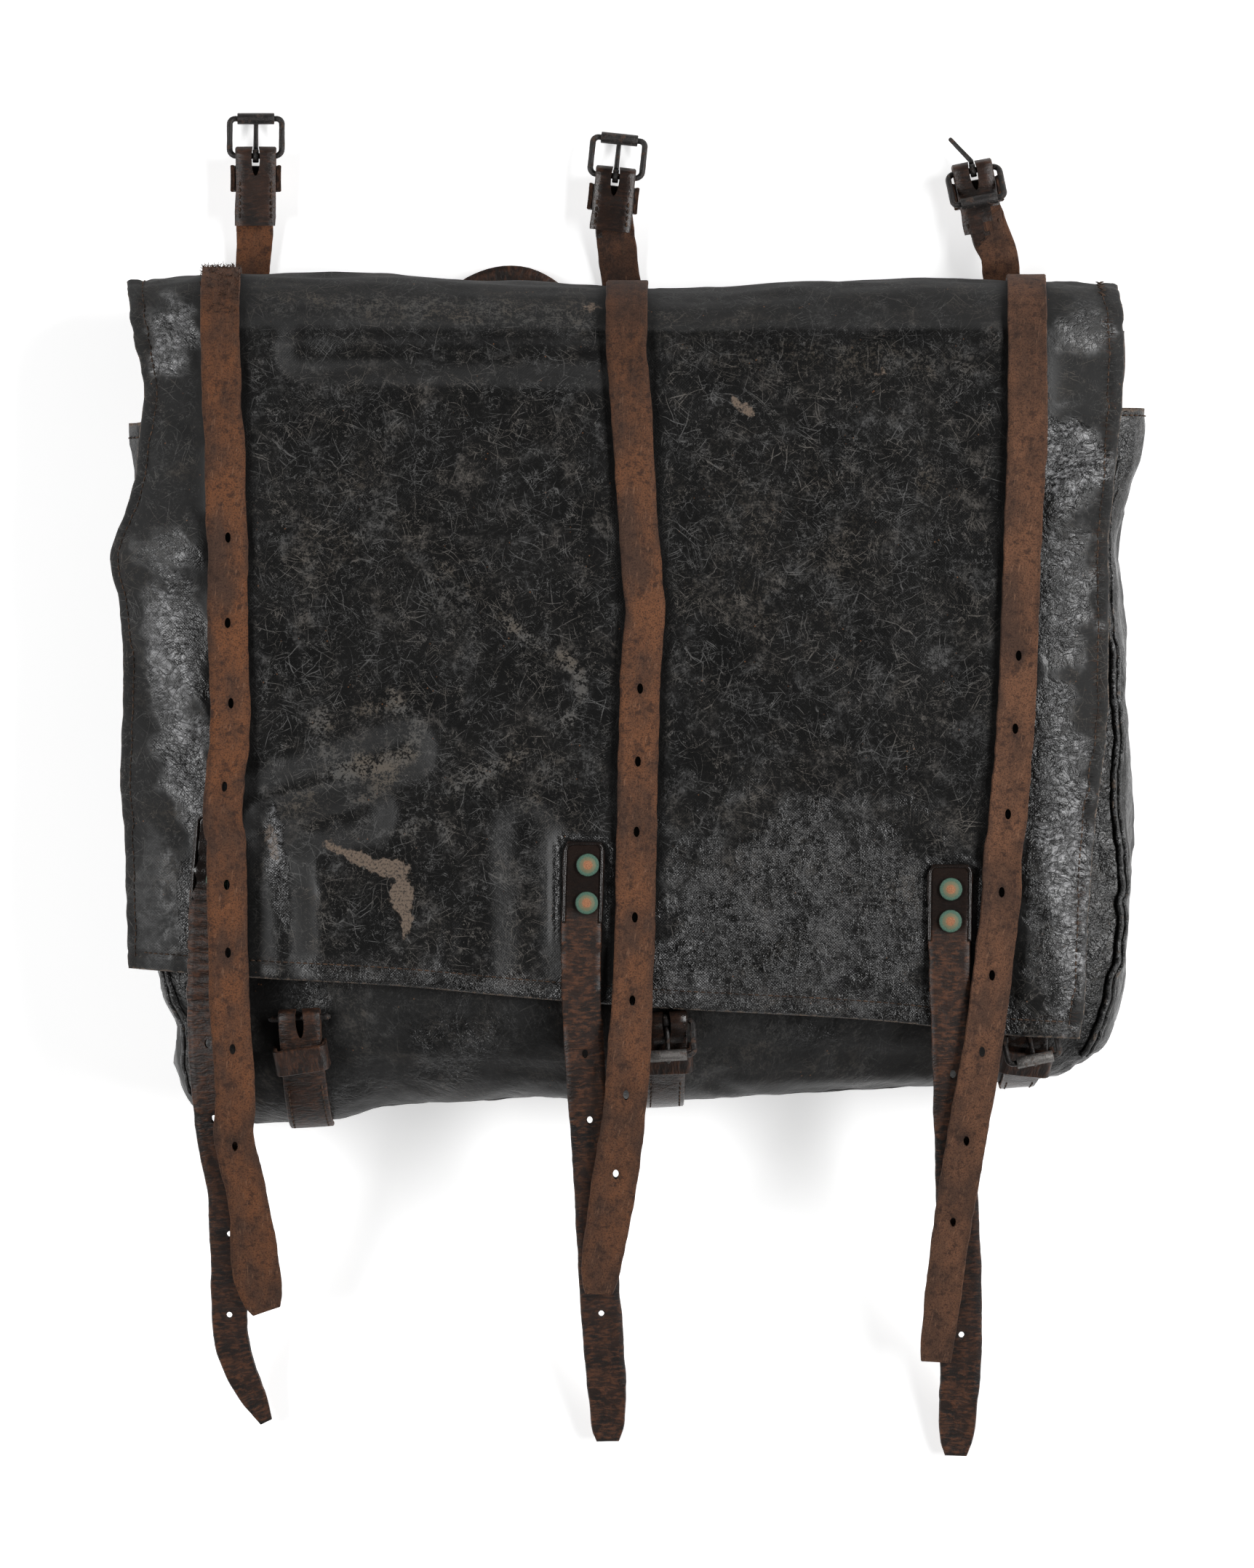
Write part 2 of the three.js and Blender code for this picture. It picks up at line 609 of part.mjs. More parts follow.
// Roller buckle in local axes: X along the bar, Y to the roller; the tongue lies on one face
function addBuckle(prefix, side, matrix, tongueFace, tongueTurn, tongueBend) {
  const group = new THREE.Group();
  group.name = prefix + "_buckle_" + side;
  group.applyMatrix4(matrix);
  knapsack.add(group);

  const corners = [
    { x: 1, y: 0, radius: 2.8, start: -90 },
    { x: 1, y: FRAME_LENGTH, radius: 2.2, start: 0 },
    { x: -1, y: FRAME_LENGTH, radius: 2.2, start: 90 },
    { x: -1, y: 0, radius: 2.8, start: 180 },
  ];
  const line = corners.flatMap(({ x, y, radius, start }) => {
    const centreX = x * (FRAME_HALF_WIDTH - radius);
    const centreY = y + (y === 0 ? radius : -radius);
    return [0, 45, 90].map((turn) => {
      const angle = (start + turn) * THREE.MathUtils.DEG2RAD;
      return new THREE.Vector3(centreX + radius * Math.cos(angle), centreY + radius * Math.sin(angle), 0);
    });
  });
  addPiece(`${prefix}_frame_${side}`, wire(line, WIRE, true, new THREE.Vector3(0, 0, 1)), iron, group);

  const rollerProfile = [
    [ROLLER_INNER, -ROLLER_HALF],
    [ROLLER_OUTER, -ROLLER_HALF],
    [ROLLER_OUTER, ROLLER_HALF],
    [ROLLER_INNER, ROLLER_HALF],
    [ROLLER_INNER, -ROLLER_HALF],
  ].map(([r, along]) => new THREE.Vector2(r, along));
  const roller = new THREE.LatheGeometry(rollerProfile, 10).rotateZ(Math.PI / 2);
  roller.translate(0, FRAME_LENGTH, 0);
  addPiece(`${prefix}_roller_${side}`, roller, iron, group);

  const eyeProfile = [
    [1.65, -1.2],
    [2.7, -1.2],
    [2.7, 1.2],
    [1.65, 1.2],
    [1.65, -1.2],
  ].map(([r, along]) => new THREE.Vector2(r, along));
  const eye = new THREE.LatheGeometry(eyeProfile, 8).rotateZ(Math.PI / 2);
  const bend = Math.tan(tongueBend * THREE.MathUtils.DEG2RAD);
  const reach = tongueBend === 0 ? FRAME_LENGTH + 1.6 : FRAME_LENGTH - 0.6;
  const arm = [
    [2.1, 0.9],
    [4.6, 1.5],
    [10, 2.8],
    [reach, 3.6],
  ].map(([y, z]) => new THREE.Vector3(bend * Math.max(0, y - 4), y, tongueFace * z));
  const prong = wire(arm, 0.95, false, new THREE.Vector3(0, 0, 1));
  const tongue = fromManifold(toManifold(eye).add(toManifold(prong)));
  const mesh = addPiece(`${prefix}_tongue_${side}`, tongue, iron, group);
  mesh.rotation.x = tongueTurn * THREE.MathUtils.DEG2RAD;
}

// Slot of a chape for the tongue, in the local axes of the leg: Y to the buckle, Z up
function slotCutter(matrix) {
  return new THREE.BoxGeometry(CHAPE_SLOT, 12, 9).translate(0, -1.4, 0).applyMatrix4(matrix);
}

// Keeper loop of leather: a channel open to +Z, in the local axes of the leg
function keeper(half, depth, wall, length) {
  const shape = new THREE.Shape();
  const outer = half + wall;
  shape.moveTo(-outer, 0);
  shape.lineTo(-outer, 1 - depth);
  shape.lineTo(1 - outer, -depth);
  shape.lineTo(outer - 1, -depth);
  shape.lineTo(outer, 1 - depth);
  shape.lineTo(outer, 0);
  shape.lineTo(half, 0);
  shape.lineTo(half, wall - depth);
  shape.lineTo(-half, wall - depth);
  shape.lineTo(-half, 0);
  const channel = new THREE.ExtrudeGeometry(shape, { depth: length, bevelEnabled: false });
  return channel.rotateX(Math.PI / 2);
}

// Half turn of leather round a bar, from the lower layer to the upper one
function foldRound(bar, out, up, across, width) {
  return [-90, -60, -30, 0, 30, 60, 90].map((turn) => {
    const angle = turn * THREE.MathUtils.DEG2RAD;
    const at = bar.clone().addScaledVector(up, FOLD_RADIUS * Math.sin(angle));
    return { at: at.addScaledVector(out, FOLD_RADIUS * Math.cos(angle)), across, width };
  });
}

// Strap lying on the flap, with its stations at the rows of the flap, raised clear of ridges beside it
function layStrap(rows, lift) {
  const places = ["x", "width"].map((name) => column(rows, "y", name));
  const first = rows[0].y;
  const last = rows[rows.length - 1].y;
  const step = (FOLD_Y - hem(rows[rows.length - 1].x)) / FLAP_FRONT_ROWS;
  const heights = [first, rows[1].y, last];
  for (let y = FOLD_Y; y > first; y -= step) {
    if (heights.every((other) => Math.abs(other - y) > 4) && y < last) heights.push(y);
  }
  const station = (y) => {
    const x = places[0](y);
    const width = places[1](y);
    const normal = flapNormal(x, FOLD_Y - y);
    const face = flapPoint(x, FOLD_Y - y);
    const across = new THREE.Vector3(normal.z, 0, -normal.x);
    const ridges = [-0.5, -0.25, 0, 0.25, 0.5].map((share) => {
      const beside = flapPoint(x + share * width, FOLD_Y - y);
      return beside.sub(face).dot(normal);
    });
    return { at: face.addScaledVector(normal, lift(y) + Math.max(...ridges)), across, width, normal };
  };
  return { stations: heights.sort((a, b) => a - b).map(station), station };
}

// Blanket straps: down the front, over the roll, turned under the back, round the buckle bar
const X_AXIS = new THREE.Vector3(1, 0, 0);
const Z_AXIS = new THREE.Vector3(0, 0, 1);
const TURN_LIFT = 1.55;
const TURN_Y = 168;
for (const side of ["left", "middle", "right"]) {
  const rows = BLANKET_FRONT[side];
  const { stations, station } = layStrap(rows, column(rows, "y", "lift"));
  const top = rows[rows.length - 1];
  const roll = [...ROLL_SHARES.toReversed(), 1].map((share) => {
    const distance = -share * ROLL_LENGTH;
    const lift = THREE.MathUtils.lerp(top.lift, TURN_LIFT, share);
    const at = flapPoint(top.x, distance).addScaledVector(flapNormal(top.x, distance), lift);
    return { at, across: X_AXIS, width: top.width };
  });
  const back = BLANKET_BACK[side];
  const upper = FLAP_BACK - TURN_LIFT;
  const turnHalf = (upper - back[0].z) / 2;
  const turn = [80, 40, 0, -40, -80].map((angle) => {
    const rad = angle * THREE.MathUtils.DEG2RAD;
    const y = TURN_Y - turnHalf * Math.cos(rad);
    const z = back[0].z + turnHalf * (1 + Math.sin(rad));
    return { at: new THREE.Vector3(top.x, y, z), across: X_AXIS, width: top.width };
  });

  const buckle = UPPER_BUCKLES[side];
  const bar = new THREE.Vector3(buckle.x, buckle.y, buckle.z);
  const tilt = buckle.tilt * THREE.MathUtils.DEG2RAD;
  const across = new THREE.Vector3(Math.cos(tilt), Math.sin(tilt), 0);
  const out = new THREE.Vector3(-Math.sin(tilt), Math.cos(tilt), 0);
  const legPoints = back.map(({ x, y, z }) => new THREE.Vector3(x, y, z));
  const layer = LEATHER / 2 + GAP / 2;
  const neck = (away, up) => bar.clone().addScaledVector(out, -away).addScaledVector(Z_AXIS, up);
  const legLine = new THREE.CatmullRomCurve3([...legPoints, neck(13, -layer)], false, "centripetal");
  const legWidth = column(back, "y", "width");
  const leg = legLine.getSpacedPoints(back.length * 2 + 2).slice(1).map((at, i, all) => {
    const share = (i + 1) / all.length;
    return { at, across: X_AXIS.clone().lerp(across, share).normalize(), width: legWidth(at.y) };
  });
  const chapeWidth = STRAP_WIDTH + 0.2;
  const chape = [10, 14, buckle.chape].map((away) => ({ at: neck(away, layer), across, width: chapeWidth }));
  const path = [
    ...stations,
    ...roll,
    ...turn,
    ...leg,
    { at: neck(9, -layer - 0.1), across, width: chapeWidth },
    ...foldRound(bar, out, Z_AXIS, across, chapeWidth),
    ...chape,
  ];
  const legMatrix = placed(bar, across, out);
  const holes = BLANKET_HOLES[side].map((y) => {
    const place = station(y);
    return holeCutter(place.at, place.normal, 1.6);
  });
  addPiece(`blanket_strap_${side}`, cut(ribbon(path, LEATHER), [...holes, slotCutter(legMatrix)]), leather);

  const { from, length, room, wall } = UPPER_KEEPER;
  const depth = FOLD_RADIUS + LEATHER / 2 + GAP + room + wall;
  const loop = keeper(chapeWidth / 2 + GAP, depth, wall, length).translate(0, -from, 0);
  addPiece(`blanket_keeper_${side}`, loop.applyMatrix4(legMatrix), leather);

  const swing = new THREE.Vector3()
    .addScaledVector(out, Math.cos(buckle.swing * THREE.MathUtils.DEG2RAD))
    .addScaledVector(Z_AXIS, Math.sin(buckle.swing * THREE.MathUtils.DEG2RAD));
  addBuckle("blanket", side, placed(bar, across, swing), -1, buckle.tongue, buckle.bend);
}

// Closing straps and their rivets
for (const side of ["left", "middle", "right"]) {
  const rows = CLOSING[side];
  const { stations, station } = layStrap(rows, () => CLOSING_LIFT);
  const punched = CLOSING_HOLES[side].map((y) => holeCutter(station(y).at, station(y).normal, 1.6));
  const seats = RIVETS[side].heights.map((y) => {
    const { at, across, normal } = station(y);
    return { at: at.addScaledVector(across, RIVETS[side].shift), normal };
  });
  const riveted = seats.map(({ at, normal }) => holeCutter(at, normal, RIVET.hole));
  addPiece(`closing_strap_${side}`, cut(ribbon(stations, LEATHER), [...punched, ...riveted]), leather);
  seats.forEach(({ at, normal }, i) => {
    const foot = LEATHER / 2 + GAP;
    const profile = [
      [0, -LEATHER / 2],
      [RIVET.shank, -LEATHER / 2],
      [RIVET.shank, foot],
      [RIVET.head, foot],
      [RIVET.head, foot + RIVET.rim],
      [RIVET.head * 0.45, foot + RIVET.dome],
      [0, foot + RIVET.dome],
    ].map(([r, h]) => new THREE.Vector2(r, h));
    const turn = new THREE.Quaternion().setFromUnitVectors(new THREE.Vector3(0, 1, 0), normal);
    const rivet = new THREE.LatheGeometry(profile, 8).applyQuaternion(turn).translate(at.x, at.y, at.z);
    addPiece(`rivet_${side}_${i === 0 ? "upper" : "lower"}`, rivet, copper);
  });
}

// Lower chapes, keepers and buckles on the front of the pouch
for (const side of ["left", "middle", "right"]) {
  const spec = LOWER[side];
  const turned = spec.turn * THREE.MathUtils.DEG2RAD;
  const legShift = (away) => {
    const swerve = (Math.tan(turned) - spec.lean) * LEG_SWERVE * (1 - Math.exp(-away / LEG_SWERVE));
    return spec.x + spec.lean * away + swerve;
  };
  const lay = (distance, lift, width) => {
    const x = legShift(distance);
    const face = pouchFront(x, spec.y, distance);
    return { at: face.at.addScaledVector(face.normal, lift), across: face.across, width };
  };
  const base = pouchFront(spec.x, spec.y, 0);
  const up = base.normal;
  const across = base.across.clone().multiplyScalar(Math.cos(turned));
  across.addScaledVector(base.along, -Math.sin(turned)).normalize();
  const out = new THREE.Vector3().crossVectors(up, across).normalize();
  const bar = base.at.clone().addScaledVector(up, BAR_LIFT);
  const tailRows = [
    { away: 8, lift: FRONT_LIFT + 0.5 },
    { away: 14, lift: FRONT_LIFT },
    { away: 19, lift: FRONT_LIFT - 0.5 },
    { away: 25, lift: UNDER_LIFT + 0.6 },
    { away: 31, lift: UNDER_LIFT },
  ];
  for (let away = 38; away <= spec.tail; away += 6) tailRows.push({ away, lift: UNDER_LIFT });
  const path = [
    lay(15, UNDER_LIFT, LOWER_WIDTH),
    lay(8, UNDER_LIFT, LOWER_WIDTH),
    ...foldRound(bar, out, up, across, LOWER_WIDTH),
    ...tailRows.map(({ away, lift }) => {
      const share = THREE.MathUtils.smoothstep(away, 14, 32);
      return lay(away, lift, THREE.MathUtils.lerp(LOWER_WIDTH, spec.tailWidth, share));
    }),
  ];
  const legMatrix = placed(bar, across, out);
  addPiece(`closing_chape_${side}`, cut(ribbon(path, LEATHER), [slotCutter(legMatrix)]), leather);

  const { from, length, wall } = LOWER_KEEPER;
  const seat = pouchFront(legShift(from + length / 2), spec.y, from + length / 2);
  const seatAcross = seat.across.clone().addScaledVector(seat.along, -spec.lean).normalize();
  const seatOut = new THREE.Vector3().crossVectors(seat.normal, seatAcross).normalize();
  const seatFoot = seat.at.clone().addScaledVector(seat.normal, 2 * GAP);
  const depth = FRONT_LIFT + LEATHER / 2 + spec.room + wall;
  const loop = keeper(LOWER_WIDTH / 2 + 2 * GAP, depth, wall, length).translate(0, length / 2, 0);
  loop.applyMatrix4(new THREE.Matrix4().makeRotationY(Math.PI));
  addPiece(`closing_keeper_${side}`, loop.applyMatrix4(placed(seatFoot, seatAcross, seatOut)), leather);

  if (spec.frame) {
    const swing = new THREE.Vector3()
      .addScaledVector(out, Math.cos(LOWER_SWING * THREE.MathUtils.DEG2RAD))
      .addScaledVector(up, Math.sin(LOWER_SWING * THREE.MathUtils.DEG2RAD));
    addBuckle("closing", side, placed(bar, across, swing), 1, 0, 0);
  } else {
    const ends = [-1, -0.9, 0.9, 1].map((share) => {
      return bar.clone().addScaledVector(across, share * BROKEN_BAR.half);
    });
    addPiece(`closing_bar_${side}`, wire(ends, BROKEN_BAR.radius, false, up), iron);
  }
}

// Shoulder straps
for (const side of ["left", "right"]) {
  const rows = SHOULDER_STRAPS[side].map(({ x, y }) => new THREE.Vector3(x, y, SHOULDER_HEIGHT));
  const line = new THREE.CatmullRomCurve3(rows);
  const path = line.getSpacedPoints(14).map((at, i) => {
    const across = line.getTangentAt(i / 14).cross(Z_AXIS);
    return { at, across, width: SHOULDER_WIDTH };
  });
  addPiece(`shoulder_strap_${side}`, ribbon(path, SHOULDER_LEATHER), leather);
}

export default knapsack;
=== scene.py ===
# Looks of the knapsack: painted canvas, worn leather and black iron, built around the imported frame.
# Lengths are in millimetres until a mesh is made, +X right, +Y to the top of the bag, +Z out of the front.
import json
import math
from functools import reduce

import bmesh
import bpy
import numpy as np
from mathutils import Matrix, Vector, noise
from mathutils.kdtree import KDTree


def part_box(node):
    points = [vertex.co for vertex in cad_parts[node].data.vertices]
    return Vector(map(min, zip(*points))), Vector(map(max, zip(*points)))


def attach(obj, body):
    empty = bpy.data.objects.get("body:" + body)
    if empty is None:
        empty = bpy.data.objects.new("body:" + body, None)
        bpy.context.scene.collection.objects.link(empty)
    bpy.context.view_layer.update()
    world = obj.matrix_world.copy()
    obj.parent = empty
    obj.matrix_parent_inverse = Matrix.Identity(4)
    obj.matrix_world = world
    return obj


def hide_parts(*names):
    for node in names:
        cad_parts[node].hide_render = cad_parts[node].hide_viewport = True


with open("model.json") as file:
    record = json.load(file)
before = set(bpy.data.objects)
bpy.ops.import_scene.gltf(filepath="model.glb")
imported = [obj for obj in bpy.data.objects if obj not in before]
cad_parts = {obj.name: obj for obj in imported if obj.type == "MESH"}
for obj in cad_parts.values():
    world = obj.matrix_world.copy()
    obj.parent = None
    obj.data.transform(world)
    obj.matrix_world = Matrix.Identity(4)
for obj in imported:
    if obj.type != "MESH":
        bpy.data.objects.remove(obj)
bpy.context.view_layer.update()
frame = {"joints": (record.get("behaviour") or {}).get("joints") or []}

MM = 0.001
BODY = "bag"
SIDES = ("left", "middle", "right")


def table(columns, *rows):
    """Rows of a table as dictionaries with the named columns."""
    return [dict(zip(columns.split(), row)) for row in rows]


# Sizes shared with the frame
CANVAS_WALL = 2.0
LEATHER = 2.2
GAP = 0.4
WIRE = 1.2
FLAP_TOP = 66.0
FLAP_BACK = 5.4
FOLD_Y = 178.0
ROLL_LENGTH = 84.0
BACK_LENGTH = 62.0
BACK_HALF_WIDTH = 188.0
SHOULDER_POWER = 1.8
SHOULDERS = table("side start reach drop", (-1, 160, 40, 22), (1, 160, 40, 16))
DROOP_START = -100.0
DROOP_LENGTH = 180.0
DROOP_END = 1.5
POUCH_MIDDLE = 31.0
POUCH_LOW = -72.5
POUCH_MOUTH = 150.0
BOTTOM_ROUND = 55.0
CORNERS = {"left": {"inset": 42.0, "power": 1.0}, "right": {"inset": 42.0, "power": 1.5}}
BOTTOM_SLANT = 0.056
SECTION_POWER = 4.0
BACK_FLATTENING = 2.5
FOLD_RADIUS = WIRE + GAP + LEATHER / 2
CHAPE_SLOT = 3.4
CHAPE_SLOT_LENGTH = 14.0
SHARP_ANGLE = math.radians(50)

# Outline of the flap
LEFT_EDGE = table(
    "y x", (-73, -199.1), (-24, -200.4), (2, -202.3), (54, -201.6), (72, -203.4), (89, -206.8),
    (107, -201.3),
    (124, -196.6), (142, -194.2), (157, -192.2), (168, -194), (185, -198.4), (203, -200.4),
)
RIGHT_EDGE = table(
    "y x", (-101, 180), (-92, 181.3), (-42, 184.2), (-10, 187), (25, 191.4), (101, 192.2), (127, 194.6),
    (150, 197.2), (186, 197.8), (201, 195.5),
)
HEM = table(
    "x y", (-200, -73.4), (-150, -77), (-88, -80.6), (-41, -85), (10, -88.9), (104, -94.5), (152, -100),
    (180, -101.4),
)
TOP_EDGE = table(
    "x y", (-200, 201.5), (-170, 203.4), (-110, 203.4), (-24, 199.8), (24, 197.4), (72, 200.6),
    (160, 200.7), (195, 199),
)

# Large folds of the flap, as in the frame
FOLDS = table(
    "x0 y0 x1 y1 half rise",
    (-128, 172, -9, 170, 15, -2.6),
    (-60, 150, 60, 60, 95, 2.4),
    (-193, 157, -172, 150, 18, -2.6),
    (-205, 89, -178, 92, 22, 6),
    (-188, 66, -172, 30, 17, 3),
    (-193, 43, -170, 6, 14, -3.6),
    (-150, -9, -88, 13, 15, 2.6),
    (-140, -18, -104, -12, 15, -2.6),
    (-138, -30, -136, -80, 16, 3.4),
    (-188, -30, -186, -60, 18, 3),
    (172, 131, 196, 142, 14, -3),
    (172, 108, 190, 118, 15, 2.6),
    (164, -30, 176, -84, 17, 3),
    (-40, -20, -38, -78, 18, -2.2),
)

# Fine creases of the flap
CREASES = table(
    "x0 y0 x1 y1 half rise",
    (-146, -10, -118, 4, 4, -1.0),
    (-118, 4, -86, 13, 4, -0.8),
    (-146, -12, -118, -16, 4, -0.9),
    (-144, -16, -126, -44, 5, 1.0),
    (-190, 46, -166, 6, 3.5, -1.2),
    (-186, 60, -168, 30, 4, 0.8),
    (-200, 92, -172, 104, 4, 0.9),
    (-196, 76, -170, 66, 5, -0.8),
    (-192, 172, -174, 190, 4, -1.0),
    (-188, 186, -172, 168, 4, 0.9),
    (-186, 150, -170, 140, 5, -0.8),
    (-130, 189, -30, 181, 5, 0.9),
    (-120, 165, -20, 176, 6, -0.9),
    (20, 184, 110, 190, 5, -0.8),
    (40, 176, 150, 178, 6, 0.7),
    (170, 132, 192, 146, 3.5, -1.0),
    (172, 118, 193, 132, 4, 0.9),
    (174, 96, 192, 100, 4, -0.8),
    (176, 60, 190, 72, 5, 0.7),
    (170, 6, 184, -14, 5, -0.7),
    (168, -50, 182, -60, 5, 0.8),
    (60, -70, 110, -84, 6, 0.7),
    (-70, -58, -74, -78, 5, 0.8),
    (20, -60, 26, -84, 6, 0.7),
)

# Pouch sections from the bottom to the mouth
POUCH = table(
    "y left right front back",
    (-128, -187, 198, 59, 0),
    (-76, -187, 198.5, 59.5, 0),
    (-41, -189, 201, 59.5, 0),
    (-6, -190, 201, 59.5, 0),
    (28, -191, 199.8, 59.5, 0),
    (60, -191.5, 198.5, 59.5, 0),
    (108, -194, 198, 57.5, 8.2),
    (132, -197.5, 204, 56.5, 8.4),
    (150, -199, 206.5, 56, 8.4),
)

# Dents and folds of the pouch, by place on its front and side
POUCH_FOLDS = table(
    "x0 y0 z0 x1 y1 z1 half rise",
    (-60, -112, 45, 40, -118, 44, 9, -1.5),
    (-100, -104, 52, -60, -110, 48, 7, 1.2),
    (30, -104, 53, 110, -110, 50, 8, -1.2),
    (40, -116, 42, 120, -116, 40, 7, 1.2),
    (-186, -80, 40, -172, -104, 34, 8, -2.2),
    (-180, -74, 48, -168, -100, 42, 6, 1.8),
    (196, -40, 40, 190, -70, 44, 9, 1.6),
    (186, -30, 52, 196, -55, 40, 7, -1.6),
    (196, 10, 44, 199, -20, 40, 10, -1.5),
    (199, 60, 40, 199, 96, 38, 12, -2.0),
    (198, 118, 38, 203, 140, 36, 10, 1.6),
    (160, -110, 40, 186, -84, 36, 9, -1.8),
)

# Blanket straps down the front, from the free end to the top
BLANKET_FRONT = {
    "left": table(
        "y x lift width", (-208, -144, 5, 12), (-204, -145.6, 5, 16), (-163, -151, 5.2, 16),
        (-138, -156.4, 5.2, 16),
        (-128, -155.8, 5.2, 16), (-82, -158, 5.4, 16), (-48, -158.8, 7, 16), (-14, -159, 7, 16),
        (22, -157.9, 2.2, 16),
        (69, -158.8, 2, 16), (138, -160, 2, 16), (178, -161.7, 2, 15.5),
    ),
    "middle": table(
        "y x lift width", (-201, -11.3, 5, 11), (-196, -11, 5, 14), (-163, -6, 5, 18), (-128, -1, 6, 17),
        (-104, 1, 7.6, 17), (-76, 2.6, 3.6, 16), (-50, 3.2, 2.2, 16), (30, 5, 2, 16), (58, 6.3, 2, 16),
        (68, 7.4, 2, 16), (80, 6.2, 2, 16), (138, 2.3, 2, 16), (178, 0, 2, 16.5),
    ),
    "right": table(
        "y x lift width", (-229, 123.6, 5, 12), (-224, 124, 5, 13), (-180, 128.8, 5, 15),
        (-128, 137, 5.2, 16),
        (-100, 142, 5.4, 15.5), (-76, 145, 4.4, 15.5), (-50, 148.2, 3.2, 15.5), (-20, 150.7, 3, 15.3),
        (22, 154.3, 2, 15), (92, 157, 2, 15), (140, 159.1, 2, 16), (178, 159.2, 2, 15.5),
    ),
}
BLANKET_HOLES = {
    "left": (97.7, 64, 32, -2, -40, -67, -105, -142),
    "middle": (38, 9, -19, -53, -86, -122, -153),
    "right": (51, 22, -12, -43, -76, -106, -140, -172),
}
BLANKET_BACK = {
    "left": table(
        "x y z width", (-160, 168, 1.45, 15), (-154, 186, 1.45, 14.5), (-150.5, 203, 1.6, 14),
        (-149.2, 224, 4.6, 14.6),
    ),
    "middle": table(
        "x y z width", (-0.6, 168, 1.45, 16), (-1.6, 186, 1.45, 15.5), (-2.6, 203, 1.6, 15.5),
        (-4.6, 219, 4.8, 15.5),
    ),
    "right": table(
        "x y z width", (158.5, 168, 1.45, 15), (153.5, 187, 1.45, 15), (150.6, 200, 4.5, 15),
        (149.2, 210.5, 13.5, 15),
        (146.5, 218, 10.6, 15.5),
    ),
}
CHAPE_LENGTH = {"left": 28, "middle": 22, "right": 25}
UPPER_KEEPER = {"from": 3.6, "length": 10.6, "room": 2.2, "wall": 1.6}
TURN_LIFT = 1.55
TURN_Y = 168.0

# Closing straps from the tip to the riveted end
CLOSING = {
    "left": table(
        "y x width", (-255, -144.6, 5), (-246, -149.2, 10), (-233, -155.2, 13), (-218, -158.6, 14),
        (-190, -158.3, 16),
        (-160, -159.4, 16), (-139, -163, 16), (-98, -166.3, 16), (-47, -165.6, 16), (-12, -163, 16),
    ),
    "middle": table(
        "y x width", (-263, -7.6, 9), (-258, -7.7, 12.5), (-246, -8, 15), (-233, -8.6, 16),
        (-198, -11.2, 16),
        (-151, -13.6, 16), (-105, -16.8, 16), (-82, -18.3, 15.6), (-40, -17.5, 16.4), (-23, -17, 17),
    ),
    "right": table(
        "y x width", (-269, 131.8, 9), (-264, 132, 12.5), (-250, 132.5, 15), (-233, 133.6, 16.5),
        (-198, 133.4, 16.5),
        (-163, 131.4, 17), (-117, 129.6, 16), (-73, 128.2, 16.4), (-32, 128.5, 18.5),
    ),
}
CLOSING_LIFT = 2.0
CLOSING_HOLES = {
    "left": (-103, -132.5, -154, -178.6, -211.4),
    "middle": (-107, -133, -158, -184, -210.8),
    "right": (-115, -141, -167, -193, -219.5),
}
RIVETS = {"left": (-23, -38), "middle": (-32.2, -47.3), "right": (-41.8, -54.5)}
RIVET_SHIFT = {"left": 3.0, "middle": 1.7, "right": 0.3}
RIVET_HEAD = 4.6

# Lower chapes on the front of the bag
LOWER = {
    "left": dict(x=-130, y=-85.5, turn=0, lean=0.1, room=2.4, tail=53, tail_width=17.4),
    "middle": dict(x=15.6, y=-94, turn=0, lean=-0.02, room=0.8, tail=45, tail_width=15.4),
    "right": dict(x=158.6, y=-103, turn=9, lean=-0.2, room=0.8, tail=35, tail_width=14),
}
LOWER_WIDTH = 16.6
LEG_SWERVE = 10.0
LOWER_KEEPER = {"from": 9.6, "length": 10.6, "wall": 1.6}
UNDER_LIFT = 1.6
FRONT_LIFT = UNDER_LIFT + LEATHER + GAP
BAR_LIFT = UNDER_LIFT + FOLD_RADIUS
BROKEN_BAR_HALF = 12.4

# Shoulder straps under the upper back
SHOULDER_WIDTH = 25.0
SHOULDER_LEATHER = 2.5
SHOULDER_HEIGHT = FLAP_BACK - GAP - SHOULDER_LEATHER / 2
SHOULDER_STRAPS = {
    "left": table(
        "x y", (-86, 118), (-80, 160), (-65, 187), (-45, 195.4), (-29, 184), (-24, 158), (-26, 118),
    ),
    "right": table("x y", (42, 128), (90, 131), (140, 129), (172, 139), (186, 160), (187, 182)),
}


# Numbers and curves
def column(rows, key, name):
    """A table column as a smooth function of another column, held at its ends."""
    ordered = sorted(rows, key=lambda row: row[key])
    t = np.array([row[key] for row in ordered], float)
    v = np.array([row[name] for row in ordered], float)

    def evaluate(at):
        at = np.clip(np.asarray(at, float), t[0], t[-1])
        i1 = np.clip(np.searchsorted(t, at, side="right"), 1, len(t) - 1)
        i0 = i1 - 1
        first, last = i0 == 0, i1 == len(t) - 1
        before = np.where(first, i1, i0 - 1)
        after = np.where(last, i0, np.minimum(i1 + 1, len(t) - 1))
        half = (t[i1] - t[i0]) / 2
        wp = half / (t[i0] - t[before])
        wn = half / (t[after] - t[i1])
        p = (at - t[i0]) / (t[i1] - t[i0])
        sp = wp * p * (-p * p + 2 * p - 1)
        s0 = (1 + wp) * p**3 - (1.5 + 2 * wp) * p * p + (wp - 0.5) * p + 1
        s1 = -(1 + wn) * p**3 + (1.5 + wn) * p * p + 0.5 * p
        sn = wn * p * p * (p - 1)
        return sp * v[before] + s0 * v[i0] + s1 * v[i1] + sn * v[after]

    return evaluate


def step(x, low, high):
    """Smooth step from 0 at low to 1 at high."""
    t = np.clip((np.asarray(x, float) - low) / (high - low), 0, 1)
    return t * t * (3 - 2 * t)


